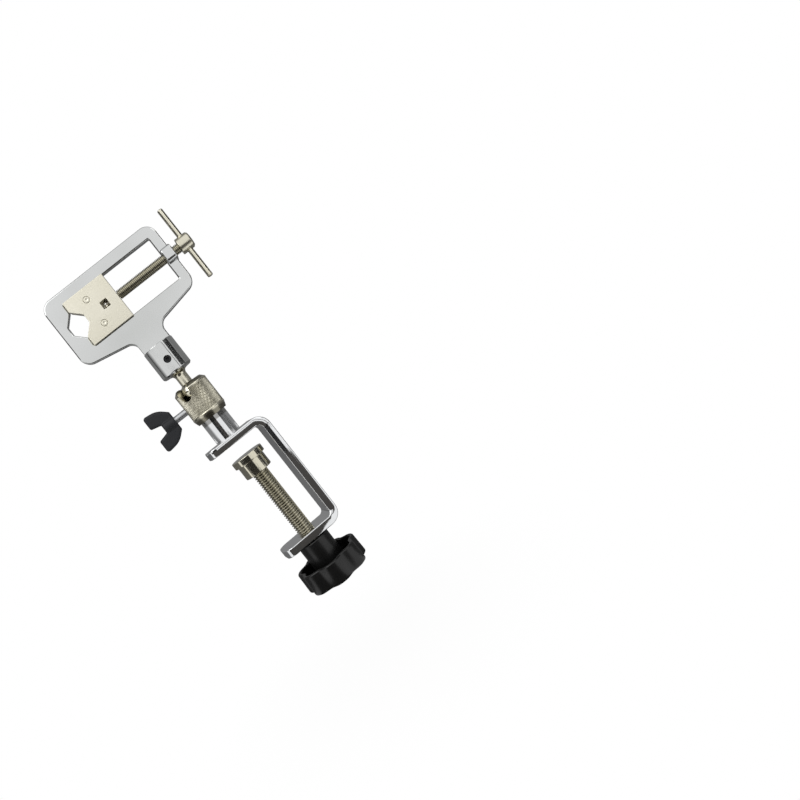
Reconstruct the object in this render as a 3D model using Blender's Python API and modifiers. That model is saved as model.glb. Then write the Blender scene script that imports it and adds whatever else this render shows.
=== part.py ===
"""Lock picking vise: a bench clamp, a ball joint locked by a wing screw, and a head with a V jaw.

Metres, +Z up. The origin is on the post's axis, at the underside of the clamp's top arm, which lies on
the bench. The clamp opens towards -X, and the face of the head looks towards -Y.
"""

import math

import bmesh
import bpy

MM = 0.001

# Clearances
SEAT_GAP = 0.3 * MM
RIVET_GAP = 0.15 * MM
THREAD_GAP = 0.3 * MM
NOTCH_FLOOR_GAP = 0.45 * MM  # over the top of the post, when the stud lies in the notch

# Bench clamp
STRIP_WIDTH = 20.0 * MM
STRIP_THICKNESS = 5.0 * MM
THROAT_HEIGHT = 66.0 * MM
THROAT_DEPTH = 17.7 * MM
ARM_REACH = 17.3 * MM
ARM_END_RADIUS = 6.0 * MM
BEND_RADIUS = 3.0 * MM
CLAMP_TURN = math.radians(9)  # on its post, away from the head

# Clamp screw, pad and knob
CLAMP_THREAD = 10.0 * MM
SCREW_ASIDE = 1.3 * MM  # from the post's axis towards the strip's back
NOSE_DIAMETER = 8.0 * MM
NOSE_LENGTH = 9.0 * MM
NOSE_CHAMFER = 1.0 * MM
RING_WIRE = 1.1 * MM
RING_BITE = 0.8 * MM
RING_ABOVE_SHOULDER = 4.0 * MM
PAD_DROP = 9.3 * MM
PAD_FLANGE = 20.7 * MM
PAD_FLANGE_HEIGHT = 4.2 * MM
PAD_HUB = 17.5 * MM
PAD_HUB_HEIGHT = 8.4 * MM
KNOB_DIAMETER = 41.4 * MM
KNOB_LOBES = 7
KNOB_TURN = math.radians(14)  # of its lobes, on the screw
KNOB_SCALLOP_DEPTH = 2.4 * MM
KNOB_SCALLOP_POWER = 1.5  # higher makes the scallops narrower
KNOB_RIM_HEIGHT = 13.4 * MM
KNOB_WALL = 2.6 * MM
KNOB_HUB_WALL = 3.2 * MM
KNOB_HUB_HEIGHT = 12.6 * MM
KNOB_EDGE = 1.2 * MM
KNOB_EDGE_ANGLE = math.radians(75)
KNOB_ARM_GAP = 0.5 * MM
INSERT_WALL = 1.2 * MM
INSERT_LENGTH = 19.0 * MM
INSERT_DEPTH = 1.0 * MM

# Post and collar
POST_DIAMETER = 16.6 * MM
POST_SHOWN = 15.0 * MM
POST_CHAMFER = 0.5 * MM
GROOVE_DEPTH = 1.2 * MM
COLLAR_WALL = 2.45 * MM
COLLAR_HEIGHT = 23.7 * MM
COLLAR_RIM_WIDTH = 2.3 * MM
COLLAR_SHOULDER = 2.2 * MM
COLLAR_FOOT_WALL = 1.2 * MM
COLLAR_FOOT_HEIGHT = 3.6 * MM
COLLAR_MOUTH_FLARE = 0.9 * MM
COLLAR_LIP_ANGLE = math.radians(35)
NOTCH_ASIDE = math.radians(29)
BALL_BELOW_RIM = 4.8 * MM

# Wing screw
LOCK_BELOW_RIM = 12.4 * MM
WING_THREAD = 4.25 * MM
SLUG_LENGTH = 2.2 * MM
SLUG_POINT = 1.1 * MM
WING_SHANK_SHOWN = 7.6 * MM
WING_SHANK_IN_GRIP = 5.4 * MM
WING_LENGTH = 14.8 * MM
WING_SPAN = 25.6 * MM
WING_ROOT = 12.4 * MM
WING_ROOT_RADIUS = 1.0 * MM
WING_CHEEK_HEIGHT = 5.6 * MM
WING_CHEEK_INSET = 1.2 * MM
WING_CHEEK_RADIUS = 12.0 * MM
WING_TIP_RADIUS = 1.8 * MM
WING_THICKNESS = 5.0 * MM
WING_HUB = 8.0 * MM
WING_SLOT = 5.2 * MM
WING_SLOT_DEPTH = 6.4 * MM
WING_SLOT_FLARE = 1.6 * MM
WING_SLOT_RADIUS = 0.4 * MM
WING_HORN_RADIUS = 1.2 * MM
WING_SHANK_CHAMFER = 0.55 * MM

# Ball stud
BALL_DIAMETER = 13.0 * MM
STUD_REACH = 13.7 * MM
STUD_NECK = 7.4 * MM
STUD_FLANGE = 11.6 * MM
STUD_FLARE = 2.4 * MM
STUD_SHANK = 8.0 * MM
STUD_SHANK_LENGTH = 13.0 * MM
STUD_SHANK_CHAMFER = 0.5 * MM
STUD_GROOVE_WIDTH = 2.8 * MM
STUD_GROOVE_DEPTH = 1.0 * MM

# Head
FRAME_WIDTH = 80.8 * MM
FRAME_THICKNESS = 5.0 * MM
FRAME_CORNER = 7.0 * MM
FRAME_FILLET = 5.5 * MM
LEFT_RAIL = 11.9 * MM
RIGHT_RAIL = 6.4 * MM
TOP_RAIL = 7.8 * MM
LOWER_RAIL_END = 7.2 * MM
LOWER_RAIL_ROOT = 13.3 * MM
WINDOW_HEIGHT = 29.0 * MM
NECK_DIAMETER = 19.8 * MM
NECK_LENGTH = 19.3 * MM
NECK_CHAMFER = 0.9 * MM
NECK_STEP = 0.5 * MM
SCREW_ABOVE_NECK = 56.3 * MM
BOSS_WALL = 3.5 * MM
BOSS_FLAT_WALL = 1.5 * MM
BOSS_LENGTH = 6.8 * MM
BOSS_PROUD = 1.0 * MM
SET_SCREW_HEIGHT = 8.7 * MM
SET_SCREW_THREAD = 4.0 * MM
SET_SCREW_SINK = 1.4 * MM
SET_SCREW_POINT = 2.2 * MM
SET_SCREW_SOCKET = 2.0 * MM

# Jaw
VEE_MOUTH = 17.5 * MM
VEE_DEPTH = 5.9 * MM
JAW_LENGTH = 28.4 * MM
JAW_PLATE_LAP = 0.7 * MM
JAW_PLATE_THICKNESS = 1.8 * MM
RIVET_DIAMETER = 3.7 * MM
RIVET_DIMPLE = 1.5 * MM
RIVET_DIMPLE_DEPTH = 0.4 * MM
RIVET_SPACING = 16.8 * MM
RIVET_FROM_SEAM = 12.5 * MM
PORT_WIDTH = 4.6 * MM
PORT_FROM_SEAM = 17.3 * MM
POCKET_WIDTH = 3.0 * MM

# Jaw screw and T bar
JAW_THREAD = 6.0 * MM
JAW_THREAD_LENGTH = 44.8 * MM
TIP_DIAMETER = 3.0 * MM
TIP_PAST_CLIP = 0.7 * MM
CLIP_PROUD = 0.6 * MM
CLIP_THICKNESS = 1.0 * MM
CLIP_BITE = 0.4 * MM
SCREW_HEAD_DIAMETER = 10.2 * MM
SCREW_HEAD_LENGTH = 8.4 * MM
SCREW_HEAD_CHAMFER = 1.0 * MM
BAR_DIAMETER = 3.5 * MM
BAR_LENGTH = 48.7 * MM
BAR_END_RADIUS = 0.8 * MM

# Diameters and heights that follow from the piece they fit
INSERT_DIAMETER = CLAMP_THREAD + 2 * (SEAT_GAP + INSERT_WALL)
KNOB_HUB = INSERT_DIAMETER + 2 * (SEAT_GAP + KNOB_HUB_WALL)
COLLAR_DIAMETER = POST_DIAMETER + 2 * (SEAT_GAP + COLLAR_WALL)
COLLAR_FOOT = POST_DIAMETER + 2 * (SEAT_GAP + COLLAR_FOOT_WALL)
BOSS_DIAMETER = JAW_THREAD + 2 * (THREAD_GAP + BOSS_WALL)
BOSS_THICKNESS = JAW_THREAD + 2 * (THREAD_GAP + BOSS_FLAT_WALL)
JAW_PLATE_HEIGHT = WINDOW_HEIGHT + 2 * JAW_PLATE_LAP
CLIP_DIAMETER = TIP_DIAMETER + 2 * CLIP_PROUD
PORT_HEIGHT = CLIP_DIAMETER + 2 * SEAT_GAP

# Places measured from the bench seat
POST_FOOT = STRIP_THICKNESS + SEAT_GAP
COLLAR_FOOT_Z = STRIP_THICKNESS + POST_SHOWN
BALL_Z = COLLAR_FOOT_Z + COLLAR_HEIGHT - BALL_BELOW_RIM
LOCK_Z = COLLAR_FOOT_Z + COLLAR_HEIGHT - LOCK_BELOW_RIM
POST_TOP = BALL_Z - STUD_NECK / 2 - NOTCH_FLOOR_GAP
SEAT_RADIUS = BALL_DIAMETER / 2 + SEAT_GAP
SEAM_X = LEFT_RAIL - FRAME_WIDTH / 2 + SEAT_GAP

# Steps round a full turn, along a corner and along other curves
ROUND_STEPS = 32
SMALL_STEPS = 20
HEXAGON = 6
CORNER_STEPS = 6
BALL_STEPS = 12
NOTCH_STEPS = 12
BOSS_STEPS = 8
LOBE_STEPS = 10
BAR_END_STEPS = 4
KNOB_EDGE_STEPS = 2
MERGE = 1e-6
AXIS_DISPLAY = 5.0 * MM

# Colour, roughness and metallic value of each finish
CHROME = ((0.78, 0.79, 0.80), 0.12, 1.0)
SATIN_CHROME = ((0.72, 0.73, 0.73), 0.32, 1.0)
NICKEL = ((0.74, 0.71, 0.60), 0.22, 1.0)
ZINC = ((0.58, 0.58, 0.58), 0.35, 1.0)
BRASS = ((0.72, 0.55, 0.25), 0.30, 1.0)
BLACK_STEEL = ((0.06, 0.06, 0.06), 0.45, 1.0)
SPRING_STEEL = ((0.50, 0.50, 0.48), 0.30, 1.0)
MATTE_BLACK = ((0.03, 0.03, 0.032), 0.55, 0.0)
SATIN_BLACK = ((0.012, 0.012, 0.012), 0.35, 0.0)

for old in list(bpy.data.objects):
    bpy.data.objects.remove(old, do_unlink=True)

PARTS = bpy.data.collections.new("lock_picking_vise")
CUTTERS = bpy.data.collections.new("cutters")
bpy.context.scene.collection.children.link(PARTS)
bpy.context.scene.collection.children.link(CUTTERS)

QUARTER = math.pi / 2
UPRIGHT = (0, 0, 0)
FACING_FRONT = (QUARTER, 0, 0)  # local Y up, local Z towards -Y
TOWARDS_RIGHT = (0, QUARTER, 0)  # local Z towards +X
TOWARDS_LEFT = (0, -QUARTER, 0)  # local Z towards -X, local X up


def axis(name, parent, location, rotation=UPRIGHT):
    """An empty on a joint's axis, which carries the pieces that move there."""
    empty = bpy.data.objects.new(name, None)
    empty.empty_display_size = AXIS_DISPLAY
    PARTS.objects.link(empty)
    empty.parent = parent
    empty.location = location
    empty.rotation_euler = rotation
    return empty


def piece(name, mesh, finish, parent, location=(0, 0, 0), rotation=UPRIGHT):
    """A named sub-part. Without a finish it is a cutter, or a shape that another piece takes in."""
    made = bpy.data.objects.new(name, mesh)
    made.parent = parent
    made.location = location
    made.rotation_euler = rotation
    if finish is None:
        made.hide_render = True
        made.display_type = "WIRE"
        CUTTERS.objects.link(made)
        return made
    PARTS.objects.link(made)
    colour, roughness, metallic = finish
    material = bpy.data.materials.new(name)
    material.use_nodes = True
    shader = material.node_tree.nodes["Principled BSDF"]
    shader.inputs["Base Color"].default_value = (*colour, 1)
    shader.inputs["Roughness"].default_value = roughness
    shader.inputs["Metallic"].default_value = metallic
    mesh.materials.append(material)
    return made


def boolean(target, other, operation):
    modifier = target.modifiers.new(other.name, "BOOLEAN")
    modifier.operation = operation
    modifier.object = other


def cut(target, cutter):
    boolean(target, cutter, "DIFFERENCE")


def join(target, other):
    boolean(target, other, "UNION")


def arc(centre, radius, start, end, steps=CORNER_STEPS):
    """Points of an arc from one angle to another, both ends included."""
    points = []
    for step in range(steps + 1):
        angle = start + (end - start) * step / steps
        points.append((centre[0] + radius * math.cos(angle), centre[1] + radius * math.sin(angle)))
    return points


def circle(radius, steps=SMALL_STEPS, centre=(0, 0)):
    return arc(centre, radius, 0, 2 * math.pi * (1 - 1 / steps), steps - 1)


def rounded(corners):
    """A closed outline through (x, y, radius) corners, with an arc at each corner that has a radius."""
    points = []
    count = len(corners)
    for index, (x, y, radius) in enumerate(corners):
        if not radius:
            points.append((x, y))
            continue
        before = corners[index - 1]
        after = corners[(index + 1) % count]
        back = math.atan2(before[1] - y, before[0] - x)
        ahead = math.atan2(after[1] - y, after[0] - x)
        opening = (ahead - back + math.pi) % (2 * math.pi) - math.pi
        middle = back + opening / 2
        reach = radius / math.sin(abs(opening) / 2)
        centre = (x + reach * math.cos(middle), y + reach * math.sin(middle))
        sweep = math.copysign(math.pi - abs(opening), opening)
        first = middle + math.pi + sweep / 2
        points += arc(centre, radius, first, first - sweep)
    return points


def mirrored(right_half):
    """Corners of an outline that is alike on both sides of local Y, from its right half, top first."""
    return right_half + [(-x, y, radius) for x, y, radius in reversed(right_half)]


def plate(outline, thickness, holes=()):
    """A flat plate in the local XY plane, half its thickness on each side, with any holes."""
    curve = bpy.data.curves.new("outline", "CURVE")
    curve.dimensions = "2D"
    curve.fill_mode = "BOTH"
    curve.extrude = thickness / 2
    for ring in (outline, *holes):
        spline = curve.splines.new("POLY")
        spline.points.add(len(ring) - 1)
        for point, (x, y) in zip(spline.points, ring):
            point.co = (x, y, 0, 1)
        spline.use_cyclic_u = True
    sketch = bpy.data.objects.new("outline", curve)
    CUTTERS.objects.link(sketch)
    depsgraph = bpy.context.evaluated_depsgraph_get()
    mesh = bpy.data.meshes.new_from_object(sketch.evaluated_get(depsgraph))
    bpy.data.objects.remove(sketch)
    work = bmesh.new()
    work.from_mesh(mesh)
    bmesh.ops.remove_doubles(work, verts=work.verts, dist=MERGE)
    bmesh.ops.recalc_face_normals(work, faces=work.faces)
    work.to_mesh(mesh)
    work.free()
    return mesh


def turned(
    name, profile, finish, parent, location=(0, 0, 0), rotation=UPRIGHT, steps=ROUND_STEPS, ring=False
):
    """A turned piece from (radius, height) points down its outer side. A ring's profile is closed."""
    mesh = bpy.data.meshes.new(name)
    edges = [(i, i + 1) for i in range(len(profile) - 1)]
    if ring:
        edges.append((len(profile) - 1, 0))
    mesh.from_pydata([(radius, 0, height) for radius, height in profile], edges, [])
    made = piece(name, mesh, finish, parent, location, rotation)
    lathe = made.modifiers.new("lathe", "SCREW")
    lathe.axis = "Z"
    lathe.steps = steps
    lathe.render_steps = steps
    lathe.use_merge_vertices = True
    lathe.merge_threshold = MERGE
    lathe.use_smooth_shade = True
    return made


def rod(name, radius, bottom, top, finish, parent, location=(0, 0, 0), rotation=UPRIGHT, steps=SMALL_STEPS):
    """A plain round bar along the local Z axis; also the cutter for a round hole."""
    profile = [(0, top), (radius, top), (radius, bottom), (0, bottom)]
    return turned(name, profile, finish, parent, location, rotation, steps)


def vee(mouth_x, deep_x):
    """Corners of the V that both jaws share, from its upper mouth to its lower one."""
    half_mouth = VEE_MOUTH / 2
    half_flat = half_mouth - VEE_DEPTH
    return [(mouth_x, half_mouth), (deep_x, half_flat), (deep_x, -half_flat), (mouth_x, -half_mouth)]


def bench_clamp(parent):
    """The bent strip, with the tapped hole of its lower arm."""
    inner = THROAT_DEPTH
    outer = inner + STRIP_THICKNESS
    low = -THROAT_HEIGHT
    bend = BEND_RADIUS + STRIP_THICKNESS
    corners = [
        (-ARM_REACH, STRIP_THICKNESS, 0),
        (-ARM_REACH, 0, 0),
        (inner, 0, BEND_RADIUS),
        (inner, low, BEND_RADIUS),
        (-ARM_REACH, low, 0),
        (-ARM_REACH, low - STRIP_THICKNESS, 0),
        (outer, low - STRIP_THICKNESS, bend),
        (outer, STRIP_THICKNESS, bend),
    ]
    mesh = plate(rounded(corners), STRIP_WIDTH)
    work = bmesh.new()
    work.from_mesh(mesh)
    arm_ends = []
    for edge in work.edges:
        across = edge.verts[0].co - edge.verts[1].co
        at_end = all(abs(v.co.x + ARM_REACH) < MERGE for v in edge.verts)
        if at_end and abs(across.z) < MERGE:
            arm_ends.append(edge)
    bmesh.ops.bevel(
        work, geom=arm_ends, offset=ARM_END_RADIUS, segments=CORNER_STEPS, profile=0.5, affect="EDGES"
    )
    work.to_mesh(mesh)
    work.free()
    strip = piece("clamp_frame", mesh, CHROME, parent, rotation=(QUARTER, 0, CLAMP_TURN))
    hole = rod(
        "screw_hole",
        CLAMP_THREAD / 2 + THREAD_GAP,
        low - 2 * STRIP_THICKNESS,
        low + STRIP_THICKNESS,
        None,
        parent,
        (SCREW_ASIDE, 0, 0),
    )
    cut(strip, hole)


def post(parent):
    """The post, with the ball's cup in its top and the V groove that the slug bites on."""
    radius = POST_DIAMETER / 2
    cup_depth = BALL_Z - POST_TOP
    cup = arc((0, BALL_Z), SEAT_RADIUS, -QUARTER, -math.asin(cup_depth / SEAT_RADIUS))
    profile = [(abs(r) if r > MERGE else 0, z) for r, z in cup]
    profile += [
        (radius - POST_CHAMFER, POST_TOP),
        (radius, POST_TOP - POST_CHAMFER),
        (radius, LOCK_Z + GROOVE_DEPTH),
        (radius - GROOVE_DEPTH, LOCK_Z),
        (radius, LOCK_Z - GROOVE_DEPTH),
        (radius, POST_FOOT),
        (0, POST_FOOT),
    ]
    turned("clamp_post", profile, CHROME, parent)


def pad(parent):
    """The swivel pad and the snap ring in it. The parent is at the top face of the pad."""
    flange = PAD_FLANGE / 2
    hub = PAD_HUB / 2
    bore = NOSE_DIAMETER / 2 + SEAT_GAP
    foot = -PAD_FLANGE_HEIGHT - PAD_HUB_HEIGHT
    roof = foot + NOSE_LENGTH + SEAT_GAP
    ring_middle = foot - SEAT_GAP + RING_ABOVE_SHOULDER
    half_wire = RING_WIRE / 2
    half_groove = half_wire + SEAT_GAP
    ring_outer = bore + RING_BITE
    ring_inner = NOSE_DIAMETER / 2 - RING_BITE + SEAT_GAP
    profile = [
        (0, 0),
        (flange, 0),
        (flange, -PAD_FLANGE_HEIGHT),
        (hub, -PAD_FLANGE_HEIGHT),
        (hub, foot),
        (bore, foot),
        (bore, ring_middle - half_groove),
        (ring_outer + SEAT_GAP, ring_middle - half_groove),
        (ring_outer + SEAT_GAP, ring_middle + half_groove),
        (bore, ring_middle + half_groove),
        (bore, roof),
        (0, roof),
    ]
    turned("clamp_pad", profile, NICKEL, parent)
    ring = [
        (ring_inner, ring_middle + half_wire),
        (ring_outer, ring_middle + half_wire),
        (ring_outer, ring_middle - half_wire),
        (ring_inner, ring_middle - half_wire),
    ]
    turned("pad_ring", ring, SPRING_STEEL, parent, steps=SMALL_STEPS, ring=True)


def clamp_screw(parent):
    """The long screw, its knob and the bush that joins them. The parent is at the top face of the pad."""
    shoulder = -PAD_FLANGE_HEIGHT - PAD_HUB_HEIGHT - SEAT_GAP
    nose_top = shoulder + NOSE_LENGTH
    groove = shoulder + RING_ABOVE_SHOULDER
    half_groove = RING_WIRE / 2 + SEAT_GAP
    nose = NOSE_DIAMETER / 2
    thread = CLAMP_THREAD / 2
    arm_foot = PAD_DROP - THROAT_HEIGHT - STRIP_THICKNESS
    hub_top = arm_foot - KNOB_ARM_GAP
    rim_top = hub_top - KNOB_HUB_HEIGHT
    rim_foot = rim_top - KNOB_RIM_HEIGHT
    insert_top = hub_top - INSERT_DEPTH
    insert_foot = insert_top - INSERT_LENGTH
    profile = [
        (0, nose_top),
        (nose - NOSE_CHAMFER, nose_top),
        (nose, nose_top - NOSE_CHAMFER),
        (nose, groove + half_groove),
        (nose - RING_BITE, groove + half_groove),
        (nose - RING_BITE, groove - half_groove),
        (nose, groove - half_groove),
        (nose, shoulder),
        (thread, shoulder),
        (thread, insert_foot),
        (0, insert_foot),
    ]
    turned("clamp_screw", profile, NICKEL, parent, steps=SMALL_STEPS)
    bush = INSERT_DIAMETER / 2
    bush_bore = thread + SEAT_GAP
    ring = [(bush_bore, insert_top), (bush, insert_top), (bush, insert_foot), (bush_bore, insert_foot)]
    turned("knob_insert", ring, BRASS, parent, steps=SMALL_STEPS, ring=True)

    outline = []
    hollow = []
    steps = KNOB_LOBES * LOBE_STEPS
    for step in range(steps):
        angle = 2 * math.pi * step / steps
        scallop = ((1 - math.cos(KNOB_LOBES * angle)) / 2) ** KNOB_SCALLOP_POWER
        reach = KNOB_DIAMETER / 2 - KNOB_SCALLOP_DEPTH * scallop
        turn = angle + KNOB_TURN
        outline.append((-reach * math.cos(turn), reach * math.sin(turn)))
        reach -= KNOB_WALL
        hollow.append((-reach * math.cos(turn), reach * math.sin(turn)))
    rim = plate(outline, KNOB_RIM_HEIGHT)
    knob = piece("clamp_knob", rim, SATIN_BLACK, parent, (0, 0, (rim_top + rim_foot) / 2))
    edge = knob.modifiers.new("edge", "BEVEL")
    edge.width = KNOB_EDGE
    edge.segments = KNOB_EDGE_STEPS
    edge.limit_method = "ANGLE"
    edge.angle_limit = KNOB_EDGE_ANGLE
    hollow_floor = rim_foot + KNOB_WALL
    hollow_top = rim_top + KNOB_WALL
    pocket = piece(
        "knob_hollow",
        plate(hollow, hollow_top - hollow_floor),
        None,
        parent,
        (0, 0, (hollow_top + hollow_floor) / 2),
    )
    cut(knob, pocket)
    hub_foot = rim_foot + KNOB_WALL / 2
    join(knob, rod("knob_hub", KNOB_HUB / 2, hub_foot, hub_top, None, parent, steps=ROUND_STEPS))
    bore_radius = bush + SEAT_GAP
    bore_foot = insert_foot - SEAT_GAP
    cut(knob, rod("knob_bore", bore_radius, bore_foot, hub_top + KNOB_WALL, None, parent))


def collar(parent):
    """The knurled sleeve: bore, ball seat, U notch and tapped hole. The parent is at its foot."""
    radius = COLLAR_DIAMETER / 2
    foot = COLLAR_FOOT / 2
    bore = POST_DIAMETER / 2 + SEAT_GAP
    ball = COLLAR_HEIGHT - BALL_BELOW_RIM
    seat = arc((0, ball), SEAT_RADIUS, 0, COLLAR_LIP_ANGLE)
    mouth = seat[-1][0] + COLLAR_MOUTH_FLARE
    rim = mouth + COLLAR_RIM_WIDTH
    profile = [
        (mouth, COLLAR_HEIGHT),
        (rim, COLLAR_HEIGHT),
        (radius, COLLAR_HEIGHT - COLLAR_SHOULDER),
        (radius, COLLAR_FOOT_HEIGHT),
        (foot, 0),
        (bore, 0),
        (bore, ball),
        *seat,
    ]
    sleeve = turned("collar", profile, NICKEL, parent, ring=True)
    notch_half = STUD_NECK / 2 + SEAT_GAP
    notch_outline = arc((0, 0), notch_half, math.pi, 2 * math.pi, NOTCH_STEPS)
    notch_outline += [(notch_half, COLLAR_HEIGHT), (-notch_half, COLLAR_HEIGHT)]
    notch = piece(
        "collar_notch",
        plate(notch_outline, COLLAR_DIAMETER),
        None,
        axis("notch_aim", parent, (0, 0, ball), (0, 0, -NOTCH_ASIDE)),
        (0, -COLLAR_DIAMETER / 2, 0),
        FACING_FRONT,
    )
    cut(sleeve, notch)
    lock = COLLAR_HEIGHT - LOCK_BELOW_RIM
    hole_radius = WING_THREAD / 2 + THREAD_GAP
    hole = rod("lock_hole", hole_radius, rim / 2, COLLAR_DIAMETER, None, parent, (0, 0, lock), TOWARDS_LEFT)
    cut(sleeve, hole)


def lock_slug(parent):
    """The slug between the wing screw and the post. The parent's Z runs from the post towards the wings."""
    point = POST_DIAMETER / 2 - GROOVE_DEPTH + SEAT_GAP
    body = WING_THREAD / 2
    profile = [
        (0, point + SLUG_LENGTH),
        (body, point + SLUG_LENGTH),
        (body, point + body),
        (SLUG_POINT, point + SLUG_POINT),
        (0, point),
    ]
    turned("lock_slug", profile, BRASS, parent, steps=SMALL_STEPS)


def wing_screw(parent):
    """The shank and the moulded wings. The parent's Z runs from the post to the wings; its X is up."""
    tip = POST_DIAMETER / 2 - GROOVE_DEPTH + SEAT_GAP + SLUG_LENGTH + SEAT_GAP
    root = COLLAR_DIAMETER / 2 + WING_SHANK_SHOWN
    shank_end = root + WING_SHANK_IN_GRIP
    thread = WING_THREAD / 2
    chamfer = WING_SHANK_CHAMFER
    profile = [
        (0, shank_end),
        (thread, shank_end),
        (thread, tip + chamfer),
        (thread - chamfer, tip),
        (0, tip),
    ]
    turned("wing_screw", profile, ZINC, parent, steps=SMALL_STEPS)

    far = WING_LENGTH
    slot_half = WING_SLOT / 2
    half_outline = [
        (WING_ROOT / 2, 0, WING_ROOT_RADIUS),
        (WING_SPAN / 2 - WING_CHEEK_INSET, WING_CHEEK_HEIGHT, WING_CHEEK_RADIUS),
        (WING_SPAN / 2, far, WING_TIP_RADIUS),
        (slot_half + WING_SLOT_FLARE, far, WING_HORN_RADIUS),
        (slot_half, far - WING_SLOT_DEPTH, WING_SLOT_RADIUS),
    ]
    wings = plate(rounded(mirrored(half_outline)), WING_THICKNESS)
    grip = piece("wing_grip", wings, MATTE_BLACK, parent, (0, 0, root), (QUARTER, 0, 0))
    hub_end = root + WING_LENGTH - WING_SLOT_DEPTH
    join(grip, rod("wing_hub", WING_HUB / 2, root, hub_end - SEAT_GAP, None, parent))
    cut(grip, rod("wing_bore", thread + SEAT_GAP, root - WING_HUB, shank_end + SEAT_GAP, None, parent))


def ball_stud(parent):
    """Ball, neck, flange and grooved shank in one. The parent is at the centre of the ball."""
    ball = BALL_DIAMETER / 2
    neck = STUD_NECK / 2
    flange = STUD_FLANGE / 2
    shank = STUD_SHANK / 2
    flange_top = STUD_REACH - SEAT_GAP
    shank_top = STUD_REACH + STUD_SHANK_LENGTH
    groove = STUD_REACH + SET_SCREW_HEIGHT
    half_groove = STUD_GROOVE_WIDTH / 2
    groove_radius = shank - STUD_GROOVE_DEPTH
    profile = [
        (0, shank_top),
        (shank - STUD_SHANK_CHAMFER, shank_top),
        (shank, shank_top - STUD_SHANK_CHAMFER),
        (shank, groove + half_groove),
        (groove_radius, groove + half_groove),
        (groove_radius, groove - half_groove),
        (shank, groove - half_groove),
        (shank, flange_top),
    ]
    for step in range(CORNER_STEPS + 1):
        angle = QUARTER * (1 - step / CORNER_STEPS)
        profile.append(
            (
                neck + (flange - neck) * (1 - math.cos(angle)),
                flange_top - STUD_FLARE * (1 - math.sin(angle)),
            )
        )
    profile += arc((0, 0), ball, math.acos(neck / ball), -QUARTER, BALL_STEPS)
    profile[-1] = (0, -ball)
    turned("ball_stud", profile, NICKEL, parent)


def vise_frame(parent):
    """The cast head. The parent is on the stud's axis, at the foot of the neck."""
    half_window = WINDOW_HEIGHT / 2
    half_width = FRAME_WIDTH / 2
    neck = NECK_DIAMETER / 2
    neck_half = neck - NECK_STEP
    plate_foot = NECK_LENGTH - SCREW_ABOVE_NECK - neck_half
    right_half = [
        (half_width, half_window + TOP_RAIL, FRAME_CORNER),
        (half_width, -half_window - LOWER_RAIL_END, FRAME_CORNER),
        (neck_half, -half_window - LOWER_RAIL_ROOT, FRAME_FILLET),
        (neck_half, plate_foot, 0),
    ]
    left = LEFT_RAIL - half_width
    right = half_width - RIGHT_RAIL
    window = [(left, -half_window), (right, -half_window), (right, half_window), (left, half_window)]
    window += vee(left, left - VEE_DEPTH)
    mesh = plate(rounded(mirrored(right_half)), FRAME_THICKNESS, [window])
    frame = piece("vise_frame", mesh, SATIN_CHROME, parent, (0, 0, SCREW_ABOVE_NECK), FACING_FRONT)

    neck_profile = [
        (0, NECK_LENGTH),
        (neck, NECK_LENGTH),
        (neck, NECK_CHAMFER),
        (neck - NECK_CHAMFER, 0),
        (0, 0),
    ]
    join(frame, turned("neck", neck_profile, None, parent))

    boss_radius = BOSS_DIAMETER / 2
    flat = math.asin(BOSS_THICKNESS / BOSS_DIAMETER)
    barrel = arc((0, 0), boss_radius, -flat, flat, BOSS_STEPS)
    barrel += arc((0, 0), boss_radius, math.pi - flat, math.pi + flat, BOSS_STEPS)
    boss_x = half_width + BOSS_PROUD - BOSS_LENGTH / 2
    boss = piece(
        "boss",
        plate(barrel, BOSS_LENGTH),
        None,
        parent,
        (boss_x, 0, SCREW_ABOVE_NECK),
        TOWARDS_RIGHT,
    )
    join(frame, boss)

    screw_way = rod(
        "jaw_screw_hole",
        JAW_THREAD / 2 + THREAD_GAP,
        right - RIGHT_RAIL,
        half_width + BOSS_LENGTH,
        None,
        parent,
        (0, 0, SCREW_ABOVE_NECK),
        TOWARDS_RIGHT,
    )
    cut(frame, screw_way)
    bore_top = STUD_SHANK_LENGTH + SEAT_GAP
    cut(frame, rod("stud_bore", STUD_SHANK / 2 + SEAT_GAP, -NECK_CHAMFER, bore_top, None, parent))
    set_hole = rod(
        "set_screw_hole",
        SET_SCREW_THREAD / 2 + SEAT_GAP,
        0,
        NECK_DIAMETER,
        None,
        parent,
        (0, 0, SET_SCREW_HEIGHT),
        FACING_FRONT,
    )
    cut(frame, set_hole)


def set_screw(parent):
    """The set screw of the neck: a dog point in the groove of the stud, and a hexagon socket outside."""
    outer = NECK_DIAMETER / 2 - SET_SCREW_SINK
    inner = STUD_SHANK / 2 + SEAT_GAP
    point = STUD_SHANK / 2 - STUD_GROOVE_DEPTH + SEAT_GAP
    thread = SET_SCREW_THREAD / 2
    dog = SET_SCREW_POINT / 2
    profile = [(0, outer), (thread, outer), (thread, inner), (dog, inner), (dog, point), (0, point)]
    place = (0, 0, SET_SCREW_HEIGHT)
    screw = turned("stud_set_screw", profile, BLACK_STEEL, parent, place, FACING_FRONT, SMALL_STEPS)
    socket_radius = SET_SCREW_SOCKET / math.sqrt(3)
    socket_floor = outer - SET_SCREW_SOCKET
    key = rod(
        "set_screw_socket",
        socket_radius,
        socket_floor,
        outer + thread,
        None,
        parent,
        place,
        FACING_FRONT,
        HEXAGON,
    )
    cut(screw, key)


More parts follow.
